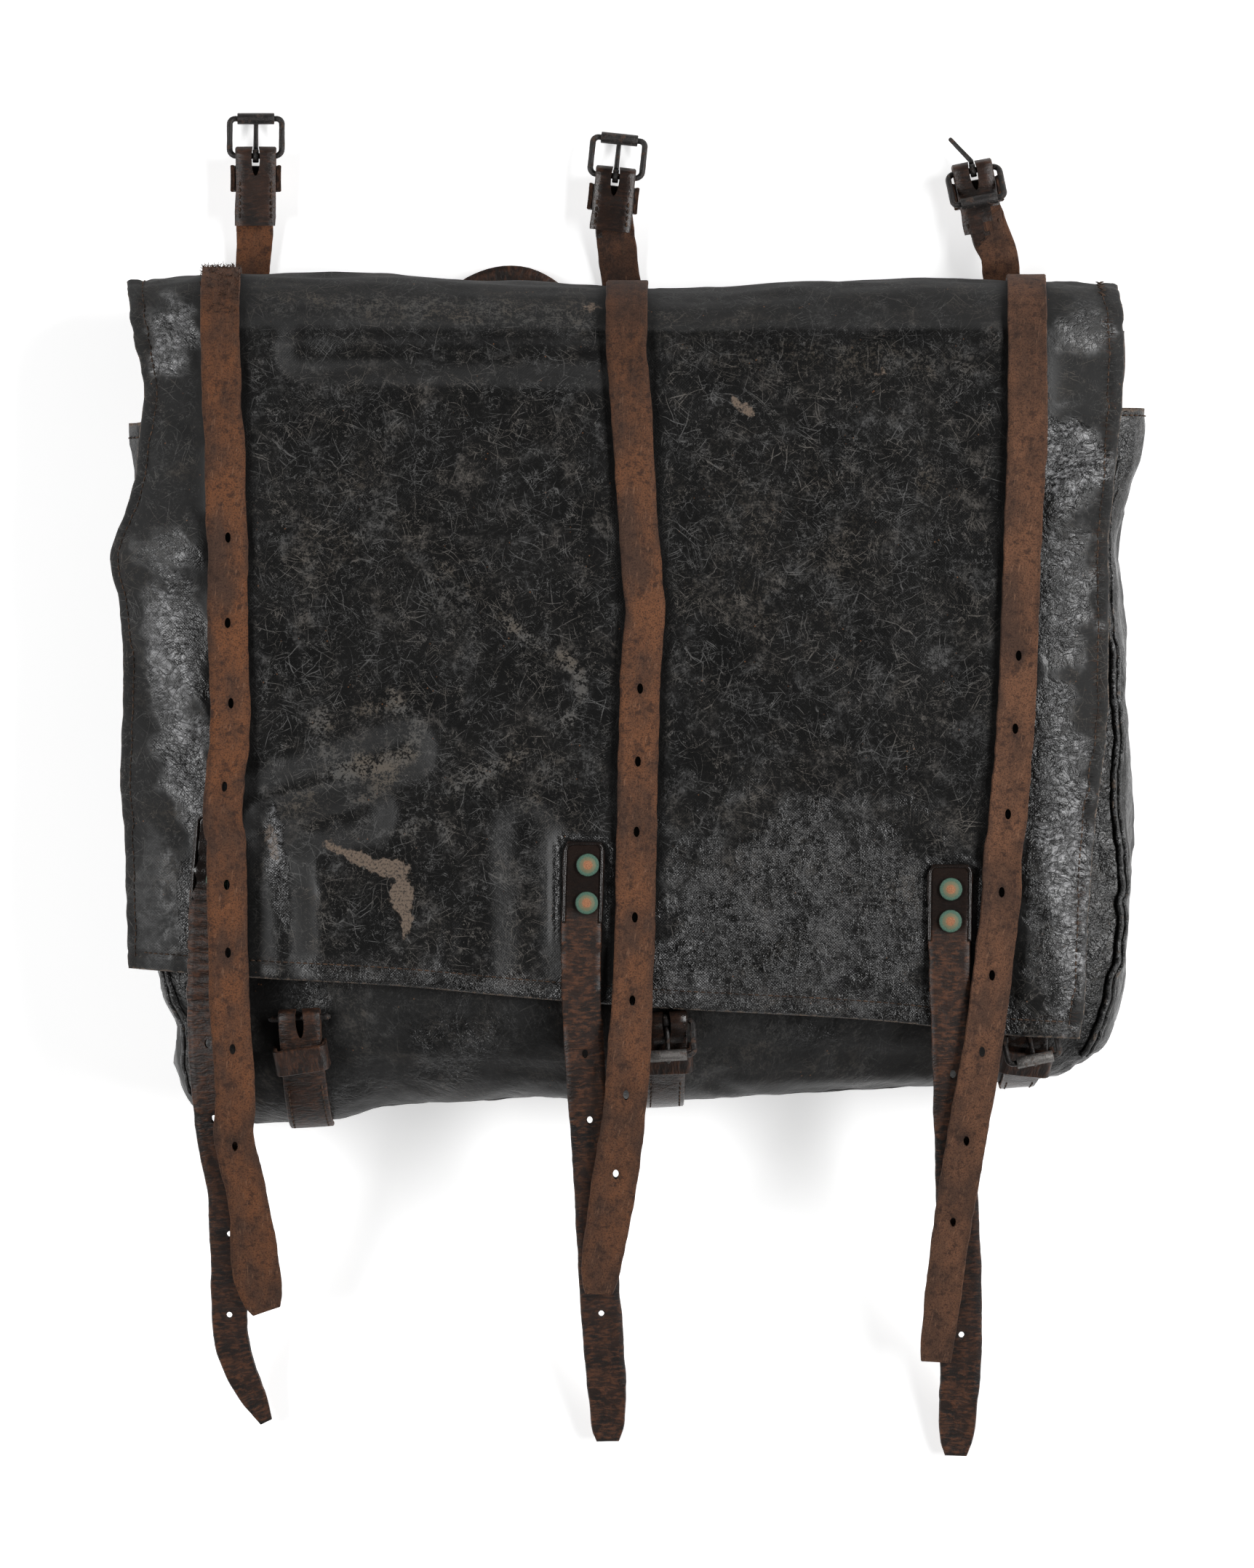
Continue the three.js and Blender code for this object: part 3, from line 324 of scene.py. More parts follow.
def bell(x, middle, half):
    """Smooth hump of height 1."""
    return np.exp(-(((x - middle) / half) ** 2))


def unit(v):
    return v / np.maximum(np.linalg.norm(v, axis=-1, keepdims=True), 1e-9)


def run_along(points):
    """Distance of each point from the start of its line."""
    return np.concatenate([[0], np.cumsum(np.linalg.norm(np.diff(points, axis=0), axis=1))])


def line_falloff(points, start, end, half):
    """1 on a line, falling smoothly to 0 at its half width."""
    start, end = np.array(start, float), np.array(end, float)
    d = end - start
    near = np.clip(((points - start) @ d) / (d @ d), 0, 1)
    off = np.linalg.norm(points - start - near[..., None] * d, axis=-1) / half
    return np.where(off < 1, (1 - np.minimum(off, 1) ** 2) ** 2, 0)


def ripple(points, size, seed, octaves=3):
    """Smooth noise from -1 to 1 at points, with lumps of about that size."""
    flat = points.reshape(-1, points.shape[-1]) / size
    if flat.shape[1] == 2:
        flat = np.column_stack([flat, np.zeros(len(flat))])
    shift = Vector((seed * 7.31, seed * 3.77, seed * 5.13))
    values = [noise.fractal(Vector(p) + shift, 1.0, 2.0, octaves) for p in flat.tolist()]
    return np.array(values).reshape(points.shape[:-1])


def resample(points, count):
    """Points evenly spaced along a line."""
    run = run_along(points)
    at = np.linspace(0, run[-1], count)
    return np.column_stack([np.interp(at, run, points[:, k]) for k in range(points.shape[1])])


def catmull(points, count):
    """Evenly spaced points on a smooth line through the given ones."""
    p = np.array(points, float)
    p = np.vstack([2 * p[0] - p[1], p, 2 * p[-1] - p[-2]])
    fine = []
    for i in range(1, len(p) - 2):
        a, b, c, d = p[i - 1 : i + 3]
        square, cube = 2 * a - 5 * b + 4 * c - d, 3 * b - a - 3 * c + d
        for u in np.linspace(0, 1, 24, endpoint=i == len(p) - 3):
            fine.append(0.5 * (2 * b + (c - a) * u + square * u**2 + cube * u**3))
    return resample(np.array(fine), count)


# Flap surface
left_edge = column(LEFT_EDGE, "y", "x")
right_edge = column(RIGHT_EDGE, "y", "x")
hem_line = column(HEM, "x", "y")
top_edge = column(TOP_EDGE, "x", "y")


def sum_of_lines(points, rows, axes="xy"):
    """Height of all folds of a table at points, whose axes are named."""
    total = np.zeros(points.shape[:-1])
    for row in rows:
        start, end = ([row[axis + k] for axis in axes] for k in "01")
        total += row["rise"] * line_falloff(points, start, end, row["half"])
    return total


def front_height(x, y):
    x, y = np.broadcast_arrays(np.asarray(x, float), np.asarray(y, float))
    height = FLAP_TOP + sum_of_lines(np.stack([x, y], -1), FOLDS)
    for row in SHOULDERS:
        past = np.maximum(0, (row["side"] * x - row["start"]) / row["reach"])
        height = height - row["drop"] * past**SHOULDER_POWER
    return height - step(DROOP_START - y, 0, DROOP_LENGTH) * (FLAP_TOP - DROOP_END)


def flap_point(x, distance):
    """Outer face of the flap by width and by distance from the fold: down the front, or round the roll."""
    x, distance = np.broadcast_arrays(np.asarray(x, float), np.asarray(distance, float))
    turn = np.clip(-distance / ROLL_LENGTH, 0, 1) * math.pi
    front = front_height(x, FOLD_Y - np.maximum(distance, 0))
    rolled = FLAP_BACK + (front - FLAP_BACK) * (0.5 + 0.5 * np.cos(turn))
    reach = (top_edge(x) - FOLD_Y) * np.sin(turn) - np.maximum(0, -distance - ROLL_LENGTH)
    y = np.where(distance >= 0, FOLD_Y - distance, FOLD_Y + reach)
    return np.stack([x, y, np.where(distance >= 0, front, rolled)], -1)


def flap_normal(x, distance):
    along = flap_point(x, distance + 0.5) - flap_point(x, distance - 0.5)
    across = flap_point(x + 0.5, distance) - flap_point(x - 0.5, distance)
    return unit(np.cross(along, across))


def flap_station(across, down):
    """Width and distance from the fold at shares of the flap's width and length."""
    front = np.maximum(down, 0)
    left = left_edge(FOLD_Y + front * (HEM[0]["y"] - FOLD_Y))
    right = right_edge(FOLD_Y + front * (HEM[-1]["y"] - FOLD_Y))
    distance = np.where(down > -1, down * ROLL_LENGTH, -ROLL_LENGTH + (down + 1) * BACK_LENGTH)
    side = flap_point(0, np.clip(distance, -ROLL_LENGTH / 2, 0))[..., 1]
    narrow = step(-down, 0.5, 1.2)
    left = np.where(down > 0, left, left_edge(side) * (1 - narrow) - BACK_HALF_WIDTH * narrow)
    right = np.where(down > 0, right, right_edge(side) * (1 - narrow) + BACK_HALF_WIDTH * narrow)
    x = left + across * (right - left)
    return x, np.where(down > 0, down * (FOLD_Y - hem_line(x)), distance)


# Pouch surface
pouch_limits = {name: column(POUCH, "y", name) for name in ("left", "right", "front", "back")}


def pouch_section(station, angle, wall):
    """Limits of the pouch at a height, or at an angle round its lower end, inside a wall."""
    limits = {name: float(line(station)) for name, line in pouch_limits.items()}
    turn = math.cos(angle)
    inset = {side: wall + row["inset"] * (1 - turn) ** row["power"] for side, row in CORNERS.items()}
    return dict(
        y=station - (BOTTOM_ROUND - wall) * math.sin(angle),
        left=limits["left"] + inset["left"],
        right=limits["right"] - inset["right"],
        rise=(limits["front"] - wall - POUCH_MIDDLE) * turn,
        fall=(POUCH_MIDDLE - limits["back"] + BACK_FLATTENING - wall) * turn,
        back=max(limits["back"], 0) + wall,
    )


def slanted(x, y):
    return y + BOTTOM_SLANT * x * (1 - step(y, -100, 40))


def pouch_ring(section, count):
    """Even points round a section of the pouch."""
    turn = np.linspace(0, 2 * math.pi, 1441)[:-1]
    middle = (section["left"] + section["right"]) / 2
    half = (section["right"] - section["left"]) / 2
    power = 2 / SECTION_POWER
    wide, high = (np.sign(wave) * np.abs(wave) ** power for wave in (np.cos(turn), np.sin(turn)))
    x = middle + half * wide
    z = POUCH_MIDDLE + high * np.where(high > 0, section["rise"], section["fall"])
    ring = np.column_stack([x, slanted(x, section["y"]), np.maximum(z, section["back"])])
    return resample(np.vstack([ring, ring[:1]]), count + 1)[:-1]


def pouch_front(x, start, distance):
    """Front face of the pouch at x and by distance down from a height: place, along, across and normal."""

    def place(turn, shift=0.0):
        section = pouch_section(POUCH_LOW, max(turn, 0), 0)
        middle = (section["left"] + section["right"]) / 2
        share = min(abs(x + shift - middle) / (section["right"] - middle), 1)
        y = POUCH_LOW - turn * BOTTOM_ROUND if turn < 0 else section["y"]
        z = POUCH_MIDDLE + section["rise"] * (1 - share**SECTION_POWER) ** (1 / SECTION_POWER)
        return np.array([x + shift, float(slanted(x + shift, y)), z])

    stride = 0.01
    down = (POUCH_LOW - start) / BOTTOM_ROUND
    turn = math.asin(down) if down > 0 else down
    left = distance
    while left > 0:
        left -= np.linalg.norm(place(turn + stride) - place(turn))
        turn += stride
    along = unit(place(turn + stride) - place(turn - stride))
    across = unit(place(turn, 1) - place(turn, -1))
    return place(turn), along, across, unit(np.cross(along, across))


# Meshes
def make_mesh(name, points, faces):
    """A mesh in metres from points in millimetres."""
    mesh = bpy.data.meshes.new(name)
    mesh.from_pydata((np.asarray(points, float) * MM).tolist(), [], [list(map(int, f)) for f in faces])
    return mesh


def add_piece(name, points, faces, materials, slot, nodes=(), body=BODY, picks=None):
    """A smooth mesh piece riding on a body and standing for frame nodes."""
    mesh = make_mesh(name, points, faces)
    mesh.validate()
    for material in materials:
        mesh.materials.append(material)
    if picks is not None:
        mesh.polygons.foreach_set("material_index", np.asarray(picks, np.int32))
    mesh.polygons.foreach_set("use_smooth", np.full(len(mesh.polygons), True))
    mesh.update()
    piece = bpy.data.objects.new(name, mesh)
    bpy.context.scene.collection.objects.link(piece)
    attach(piece, body)
    if nodes:
        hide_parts(*nodes)
    return piece


def mark(piece, **values):
    """Named values for the materials: flat is a place on the flat cloth or leather, the rest are numbers."""
    count = len(piece.data.vertices)
    for name, value in values.items():
        kind, key = ("FLOAT_VECTOR", "vector") if name == "flat" else ("FLOAT", "value")
        value = np.asarray(value, np.float32).ravel()
        if name != "flat":
            value = np.array(np.broadcast_to(value, count))
        piece.data.attributes.new(name, kind, "POINT").data.foreach_set(key, value)


def grid_faces(rows, columns, offset=0, wrap=False, flip=False):
    """Quads of a grid of points stored row by row."""
    r, c = np.meshgrid(np.arange(rows - 1), np.arange(columns if wrap else columns - 1), indexing="ij")
    n = (c + 1) % columns
    quads = np.stack([r * columns + c, r * columns + n, (r + 1) * columns + n, (r + 1) * columns + c], -1)
    quads = quads.reshape(-1, 4) + offset
    return quads[:, ::-1] if flip else quads


def capped_faces(rows, ring, flip=False):
    """Faces of a row of rings, closed by a flat face at each end."""
    ends = [tuple(range(ring - 1, -1, -1)), tuple(range((rows - 1) * ring, rows * ring))]
    sides = [tuple(f) for f in grid_faces(rows, ring, wrap=True, flip=flip)]
    return sides + [end[::-1] if flip else end for end in ends]


def looped_faces(rows, ring):
    """Faces of a row of rings whose last one meets the first."""
    return [tuple(f) for f in grid_faces(rows + 1, ring, wrap=True) % (rows * ring)]


def grid_normals(points):
    along = np.gradient(points, axis=0)
    across = np.gradient(points, axis=1)
    return unit(np.cross(along, across))


def shell(outer, inner):
    """Points and faces of a closed sheet, and the counts of its outer, inner and rim faces."""
    rows, columns = outer.shape[:2]
    points = np.vstack([outer.reshape(-1, 3), inner.reshape(-1, 3)])
    size = rows * columns
    top = np.arange(columns)
    right = np.arange(1, rows) * columns + columns - 1
    bottom = (rows - 1) * columns + np.arange(columns - 2, -1, -1)
    left = np.arange(rows - 2, 0, -1) * columns
    edge = np.concatenate([top, right, bottom, left])
    after = np.roll(edge, -1)
    rim = np.stack([after, edge, edge + size, after + size], -1)
    faces = [grid_faces(rows, columns), grid_faces(rows, columns, size, flip=True), rim]
    return points, np.vstack(faces), [len(f) for f in faces]


def tube(points, radius, sides=10, loop=False, flat=(0, 0, 1)):
    """Points and faces of a round bar along a line."""
    p = np.asarray(points, float)
    n = len(p)
    radius = np.broadcast_to(np.asarray(radius, float), (n,))
    along = np.roll(p, -1, 0) - np.roll(p, 1, 0) if loop else np.gradient(p, axis=0)
    out = unit(np.cross(unit(along), np.broadcast_to(np.asarray(flat, float), p.shape)))
    up = unit(np.cross(out, unit(along)))
    turn = np.arange(sides) * 2 * math.pi / sides
    ring = np.cos(turn)[None, :, None] * out[:, None] + np.sin(turn)[None, :, None] * up[:, None]
    rings = p[:, None] + radius[:, None, None] * ring
    faces = looped_faces(n, sides) if loop else capped_faces(n, sides)
    return rings.reshape(-1, 3), faces


def joined(parts):
    """Several (points, faces) as one."""
    points, faces, count = [], [], 0
    for p, f in parts:
        points.append(p)
        faces.extend([tuple(int(i) + count for i in face) for face in f])
        count += len(p)
    return np.vstack(points), faces


# Node materials
class Shader:
    """A node material built step by step; lengths in its textures are millimetres."""

    def __init__(self, name):
        self.material = bpy.data.materials.new(name)
        self.material.use_nodes = True
        self.tree = self.material.node_tree
        self.surface = self.tree.nodes["Principled BSDF"]

    def join(self, socket, value):
        if isinstance(value, bpy.types.NodeSocket):
            self.tree.links.new(value, socket)
        else:
            socket.default_value = value

    def node(self, kind, inputs, output=0, **settings):
        made = self.tree.nodes.new(kind)
        for key, value in settings.items():
            setattr(made, key, value)
        for key, value in inputs.items():
            self.join(made.inputs[key], value)
        return made.outputs[output]

    def vector(self, name):
        return self.node("ShaderNodeAttribute", {}, "Vector", attribute_name=name)

    def value(self, name):
        return self.node("ShaderNodeAttribute", {}, "Fac", attribute_name=name)

    def place(self):
        """Coordinates of the object."""
        return self.stretch(self.node("ShaderNodeTexCoord", {}, "Object"), (1 / MM, 1 / MM, 1 / MM))

    def math(self, operation, a, b=0.0):
        return self.node("ShaderNodeMath", {0: a, 1: b}, operation=operation)

    def add(self, *values):
        return reduce(lambda a, b: self.math("ADD", a, b), values)

    def times(self, *values):
        return reduce(lambda a, b: self.math("MULTIPLY", a, b), values)

    def highest(self, *values):
        return reduce(lambda a, b: self.math("MAXIMUM", a, b), values)

    def around(self, value, amount):
        """A value from 0 to 1 as a change of up to half the amount either way."""
        return self.times(self.math("SUBTRACT", value, 0.5), amount)

    def vectors(self, operation, vector, other):
        return self.node("ShaderNodeVectorMath", {0: vector, 1: other}, operation=operation)

    def stretch(self, vector, scale, turn=0.0):
        """Coordinates turned about Z by degrees, then scaled."""
        inputs = {"Vector": vector, "Angle": math.radians(turn)}
        turned = self.node("ShaderNodeVectorRotate", inputs, rotation_type="Z_AXIS")
        return self.vectors("MULTIPLY", turned, scale)

    def shift(self, vector, seed):
        """Coordinates moved aside, for another stretch of the same noise."""
        return self.vectors("ADD", vector, (seed, seed * 0.7, 0))

    def warp(self, vector, size, amount):
        """Coordinates pushed about smoothly by up to about half the amount."""
        push = self.node("ShaderNodeTexNoise", {"Vector": vector, "Scale": 1 / size, "Detail": 1.0}, 1)
        push = self.vectors("SUBTRACT", push, (0.5, 0.5, 0.5))
        push = self.node("ShaderNodeVectorMath", {0: push, "Scale": amount}, operation="SCALE")
        return self.vectors("ADD", vector, push)

    def noise(self, vector, size, detail=3.0, roughness=0.5, distortion=0.0):
        inputs = {"Vector": vector, "Scale": 1 / size, "Detail": detail, "Roughness": roughness}
        return self.node("ShaderNodeTexNoise", {**inputs, "Distortion": distortion}, 0)

    def cells(self, vector, size, feature="DISTANCE_TO_EDGE"):
        return self.node("ShaderNodeTexVoronoi", {"Vector": vector, "Scale": 1 / size}, 0, feature=feature)

    def streaks(self, vector, row):
        """Thin scratches in one direction, scattered: 1 on a scratch, 0 elsewhere."""
        size = (1 / row["long"], 1 / row["wide"], 1.0)
        place = self.shift(self.stretch(vector, size, row["turn"]), row["seed"])
        cell = self.tree.nodes.new("ShaderNodeTexVoronoi")
        cell.voronoi_dimensions = "2D"
        self.join(cell.inputs["Vector"], place)
        self.join(cell.inputs["Scale"], 1.0)
        chance = self.node("ShaderNodeSeparateColor", {0: cell.outputs["Color"]})
        kept = self.math("GREATER_THAN", chance, 1 - row["share"])
        return self.times(self.between(cell.outputs["Distance"], 0.14, 0.34, 1.0, 0.0), kept)

    def between(self, value, low, high, start=0.0, end=1.0):
        """Smooth step of a value between two limits."""
        inputs = {"Value": value, "From Min": low, "From Max": high, "To Min": start, "To Max": end}
        return self.node("ShaderNodeMapRange", inputs, interpolation_type="SMOOTHSTEP")

    def line(self, value, middle, half):
        """1 where a value is near the middle, 0 beyond the half width."""
        off = self.math("ABSOLUTE", self.math("SUBTRACT", value, middle))
        return self.between(off, 0.0, half, 1.0, 0.0)

    def mix(self, share, a, b):
        a, b = ((*c, 1.0) if isinstance(c, tuple) else c for c in (a, b))
        return self.node("ShaderNodeMix", {0: share, 6: a, 7: b}, 2, data_type="RGBA")

    def bump(self, height, depth=1.0):
        return self.node("ShaderNodeBump", {"Height": height, "Distance": depth * MM, "Strength": 1.0})

    def weave(self, vector, pitch):
        """Bumps of a plain weave of that pitch."""
        parts = self.tree.nodes.new("ShaderNodeSeparateXYZ")
        self.join(parts.inputs[0], vector)
        waves = [self.math("SINE", self.times(parts.outputs[k], 2 * math.pi / pitch)) for k in (0, 1)]
        return self.times(*waves)

    def finish(self, colour, roughness, normal=None, metallic=0.0, specular=0.5):
        colour = (*colour, 1.0) if isinstance(colour, tuple) else colour
        for name, value in (("Base Color", colour), ("Roughness", roughness), ("Metallic", metallic)):
            self.join(self.surface.inputs[name], value)
        self.surface.inputs["Specular IOR Level"].default_value = specular
        if normal is not None:
            self.join(self.surface.inputs["Normal"], normal)
        return self.material


# Scratches of the paint: direction, cell length and width, shift, and share of cells with a scratch
SCRATCHES = table(
    "turn long wide seed share",
    (28, 26, 0.60, 3, 0.05),
    (-41, 22, 0.55, 17, 0.05),
    (74, 20, 0.55, 29, 0.05),
    (-72, 24, 0.60, 41, 0.045),
    (8, 18, 0.55, 53, 0.05),
    (50, 11, 0.50, 67, 0.05),
    (-20, 12, 0.50, 79, 0.05),
)
CANVAS_PITCH = 1.15


def scratch_marks(s, flat):
    """Scratches of the paint: straight ones in clusters, a web of cracks, and faint curls."""
    bent = s.warp(s.warp(flat, 30, 14), 6, 1.6)
    lines = [s.streaks(bent, row) for row in SCRATCHES]
    cluster = s.between(s.noise(s.shift(flat, 91), 17, 4, 0.65), 0.40, 0.60, 0.12, 1.0)
    patchy = s.between(s.noise(s.shift(flat, 13), 13, 3), 0.48, 0.60)
    web = s.times(s.line(s.cells(bent, 9.0), 0.0, 0.016), patchy)
    curls = s.line(s.noise(flat, 4.0, 3.0, 0.6, 0.8), 0.5, 0.014)
    loops = s.line(s.noise(s.shift(flat, 55), 9.0, 4.0, 0.6, 0.6), 0.46, 0.010)
    faint = s.between(s.noise(s.shift(flat, 23), 7.0, 3, 0.65), 0.36, 0.58)
    return s.highest(s.times(s.highest(*lines), cluster), web, s.times(s.highest(curls, loops), faint))


def painted_canvas():
    """Black painted canvas: cloudy, scratched and dusty, crackled where it is glossy, bare in patches, with
    painted sheen and painted glints on its glossy places.
    """
    s = Shader("painted_canvas")
    flat = s.vector("flat")
    names = ("gloss", "dust", "bare", "scuff", "seam", "slope", "cloth")
    gloss, dust, bare, scuff, seam, slope, cloth = map(s.value, names)
    wavy = s.warp(flat, 15, 8)
    mottle = s.noise(flat, 34, 3, 0.6)
    cloud = s.noise(wavy, 15, 5, 0.70)
    fine = s.noise(flat, 2.6, 3, 0.65)
    grain = s.noise(flat, 0.9, 2, 0.6)
    warm = s.between(s.noise(s.shift(flat, 71), 22, 3, 0.6), 0.42, 0.62)
    gloss = s.times(gloss, s.between(s.noise(s.shift(wavy, 37), 5, 4, 0.68), 0.36, 0.60, 0.5, 1.0))
    broken = s.between(s.add(s.times(fine, 0.55), s.times(grain, 0.45)), 0.40, 0.60, 0.05, 1.0)
    scratches = s.times(scratch_marks(s, flat), s.between(broken, 0.0, 0.6, 0.35, 1.0), scuff)
    haze = s.times(s.between(cloud, 0.49, 0.69), broken, scuff)

    # Paint with haze, scratches, rust specks and dust, worn down to the cloth
    paint = s.mix(s.between(mottle, 0.3, 0.7), (0.0020, 0.0020, 0.0020), (0.0056, 0.0054, 0.0052))
    paint = s.mix(s.times(haze, 0.8), paint, s.mix(warm, (0.050, 0.049, 0.048), (0.060, 0.053, 0.046)))
    pale = s.mix(warm, (0.118, 0.116, 0.113), (0.122, 0.108, 0.093))
    paint = s.mix(s.times(scratches, 0.68), paint, pale)
    specks = s.between(s.cells(flat, 2.6, "F1"), 0.14, 0.07)
    rare = s.between(s.noise(flat, 9, 2), 0.60, 0.68)
    paint = s.mix(s.times(specks, rare, 0.8), paint, (0.17, 0.075, 0.033))
    patch = s.add(s.times(cloud, 0.45), s.times(broken, 0.32))
    dusty = s.times(dust, s.between(s.add(patch, s.times(dust, 0.2)), 0.44, 0.70))
    paint = s.mix(s.times(dusty, 0.85), paint, s.mix(warm, (0.085, 0.080, 0.073), (0.105, 0.086, 0.066)))
    worn = s.between(s.add(bare, s.around(fine, 1.5)), 0.34, 0.66)
    worn = s.times(worn, s.between(bare, 0.02, 0.25))
    tan = s.mix(s.between(grain, 0.30, 0.56), (0.045, 0.032, 0.024), (0.145, 0.106, 0.078))
    colour = s.mix(s.times(worn, s.between(broken, 0.0, 0.3, 0.55, 1.0)), paint, tan)

    # Cracks across the seams
    across = s.noise(s.stretch(s.warp(flat, 6, 2), (0.16, 1.0, 1.0)), 1.7, 2.0)
    cracks = s.times(s.line(across, 0.5, 0.035), seam)
    colour = s.mix(s.times(cracks, 0.9), colour, s.mix(warm, (0.004, 0.003, 0.003), (0.05, 0.022, 0.011)))

    # Painted sheen and glints of the glossy places: thread tops painted light grey, light glints painted on
    # crinkles where tilted; and the dark craze of the glossy places
    woven = s.weave(s.warp(flat, 20, 1.6), CANVAS_PITCH)
    patch_mask = s.between(s.add(s.times(cloud, 0.6), s.times(fine, 0.4)), 0.41, 0.59)
    # Thread tops painted light grey in patches: a painted sheen of the glossy places
    sheen_threads = s.times(s.between(woven, -0.15, 0.55, 0.12, 1.0), patch_mask, s.times(gloss, cloth))
    sheen_colour = s.mix(s.between(gloss, 0.4, 0.9), (0.125, 0.125, 0.126), (0.215, 0.215, 0.219))
    colour = s.mix(s.times(sheen_threads, 0.85), colour, sheen_colour)
    crinkle = s.noise(s.stretch(wavy, (1.0, 1.5, 1.0)), 2.4, 3, 0.6)
    # Painted glints: light grey on the crinkles where the canvas is glossy and tilted
    painted_glints = s.times(s.between(crinkle, 0.36, 0.68), s.between(gloss, 0.35, 0.95), slope)
    colour = s.mix(s.times(painted_glints, 0.85), colour, (0.285, 0.285, 0.291))
    crazed = s.times(s.line(s.cells(wavy, 4.0), 0.0, 0.045), s.between(gloss, 0.2, 0.8))
    colour = s.mix(s.times(crazed, 0.8), colour, (0.003, 0.003, 0.003))

    matt = s.times(slope, s.between(gloss, 0.05, 0.5, 1.0, 0.0))
    rough = s.add(
        s.between(gloss, 0.0, 1.0, 0.33, 0.22),
        s.times(matt, 0.50),
        s.around(mottle, 0.04),
        s.times(s.highest(haze, scratches), 0.25),
    )
    rough = s.highest(rough, s.times(s.highest(dusty, worn), 0.85))
    height = s.add(
        s.times(woven, cloth, s.between(gloss, 0.0, 0.8, 0.012, 0.034)),
        s.times(crinkle, s.between(gloss, 0.1, 0.9, 0.0, 0.6), s.between(cloth, 0.0, 1.0, 1.5, 1.0)),
        s.times(grain, 0.08),
        s.times(fine, s.between(gloss, 0.0, 0.8, 0.14, 0.26)),
        s.times(cloud, s.between(gloss, 0.0, 0.8, 0.35, 0.7)),
        s.times(crazed, -0.16),
        s.times(cracks, -0.22),
    )
    return s.finish(colour, rough, s.bump(height), specular=0.55)


def raw_canvas():
    """Unpainted back and cut edges of the canvas."""
    s = Shader("raw_canvas")
    flat = s.vector("flat")
    tone = s.noise(flat, 5, 5, 0.7)
    colour = s.mix(s.between(tone, 0.40, 0.64), (0.010, 0.007, 0.006), (0.070, 0.042, 0.027))
    height = s.add(s.times(s.weave(flat, 1.1), 0.10), s.times(s.noise(flat, 1.2, 3), 0.2))
    return s.finish(colour, 0.9, s.bump(height), specular=0.2)


def flesh_leather():
    """Rough flesh side of the straps: orange brown with dense dark speckle and grimy patches."""
    s = Shader("flesh_leather")
    flat, grime = s.vector("flat"), s.value("grime")
    tone = s.noise(s.stretch(flat, (1.0, 0.5, 1.0)), 18, 4, 0.65)
    speck = s.noise(flat, 0.62, 3, 0.7)
    blots = s.noise(flat, 3.2, 5, 0.72)
    fibres = s.noise(s.stretch(flat, (1.0, 0.16, 1.0), 8), 0.8, 3, 0.6)
    light = s.mix(s.value("tint"), (0.172, 0.082, 0.047), (0.184, 0.071, 0.030))
    colour = s.mix(s.between(tone, 0.34, 0.66), (0.072, 0.038, 0.025), light)
    colour = s.mix(s.between(speck, 0.46, 0.64, 0.0, 0.7), colour, (0.028, 0.014, 0.010))
    colour = s.mix(s.between(blots, 0.50, 0.66, 0.0, 0.75), colour, (0.030, 0.016, 0.012))
    colour = s.mix(s.between(fibres, 0.58, 0.74, 0.0, 0.5), colour, (0.26, 0.135, 0.080))
    dirty = s.times(grime, s.between(blots, 0.25, 0.6, 0.55, 1.0))
    colour = s.mix(dirty, colour, (0.016, 0.010, 0.008))
    height = s.add(s.times(speck, -0.30), s.times(blots, 0.25), s.times(fibres, 0.18))
    return s.finish(colour, 0.82, s.bump(height), specular=0.25)


def grain_leather():
    """Smooth outer side of the leather: dark brown with fine cross wrinkles and orange worn edges."""
    s = Shader("grain_leather")
    flat, wear, grime = s.vector("flat"), s.value("wear"), s.value("grime")
    tone = s.noise(flat, 16, 4, 0.62)
    wrinkle = s.noise(s.stretch(s.warp(flat, 9, 2.5), (0.26, 1.0, 1.0)), 1.1, 3, 0.6)
    pores = s.noise(flat, 0.6, 2)
    blots = s.noise(flat, 4.5, 5, 0.72)
    brown = s.mix(s.between(tone, 0.36, 0.66), (0.0065, 0.0042, 0.0034), (0.028, 0.0115, 0.0062))
    colour = s.mix(s.between(wrinkle, 0.50, 0.68, 0.0, 0.5), brown, (0.050, 0.021, 0.012))
    patch_mask = s.between(s.add(s.times(blots, 0.6), s.times(wrinkle, 0.4)), 0.46, 0.62)
    colour = s.mix(s.times(wear, patch_mask, 0.85), colour, (0.135, 0.048, 0.019))
    colour = s.mix(s.between(blots, 0.56, 0.70, 0.0, 0.8), colour, (0.0075, 0.006, 0.0055))
    colour = s.mix(s.times(grime, 0.9), colour, s.mix(pores, (0.006, 0.005, 0.005), (0.020, 0.015, 0.013)))
    rough = s.add(s.between(grime, 0.0, 1.0, 0.52, 0.21), s.around(blots, 0.25))
    creased = s.times(wrinkle, s.between(grime, 0.0, 1.0, 0.42, 0.08))
    height = s.add(creased, s.times(pores, 0.05), s.times(blots, 0.25))
    return s.finish(colour, rough, s.bump(height), specular=0.45)


def cut_leather():
    """Cut edges of the straps: fibrous brown, darkened by handling."""
    s = Shader("cut_leather")
    flat = s.vector("flat")
    tone = s.noise(s.stretch(flat, (1.0, 0.4, 2.0)), 2.4, 4, 0.65)
    colour = s.mix(s.between(tone, 0.34, 0.66), (0.020, 0.012, 0.009), (0.085, 0.042, 0.026))
    return s.finish(colour, 0.8, s.bump(s.noise(flat, 0.6, 3), 0.25), specular=0.25)


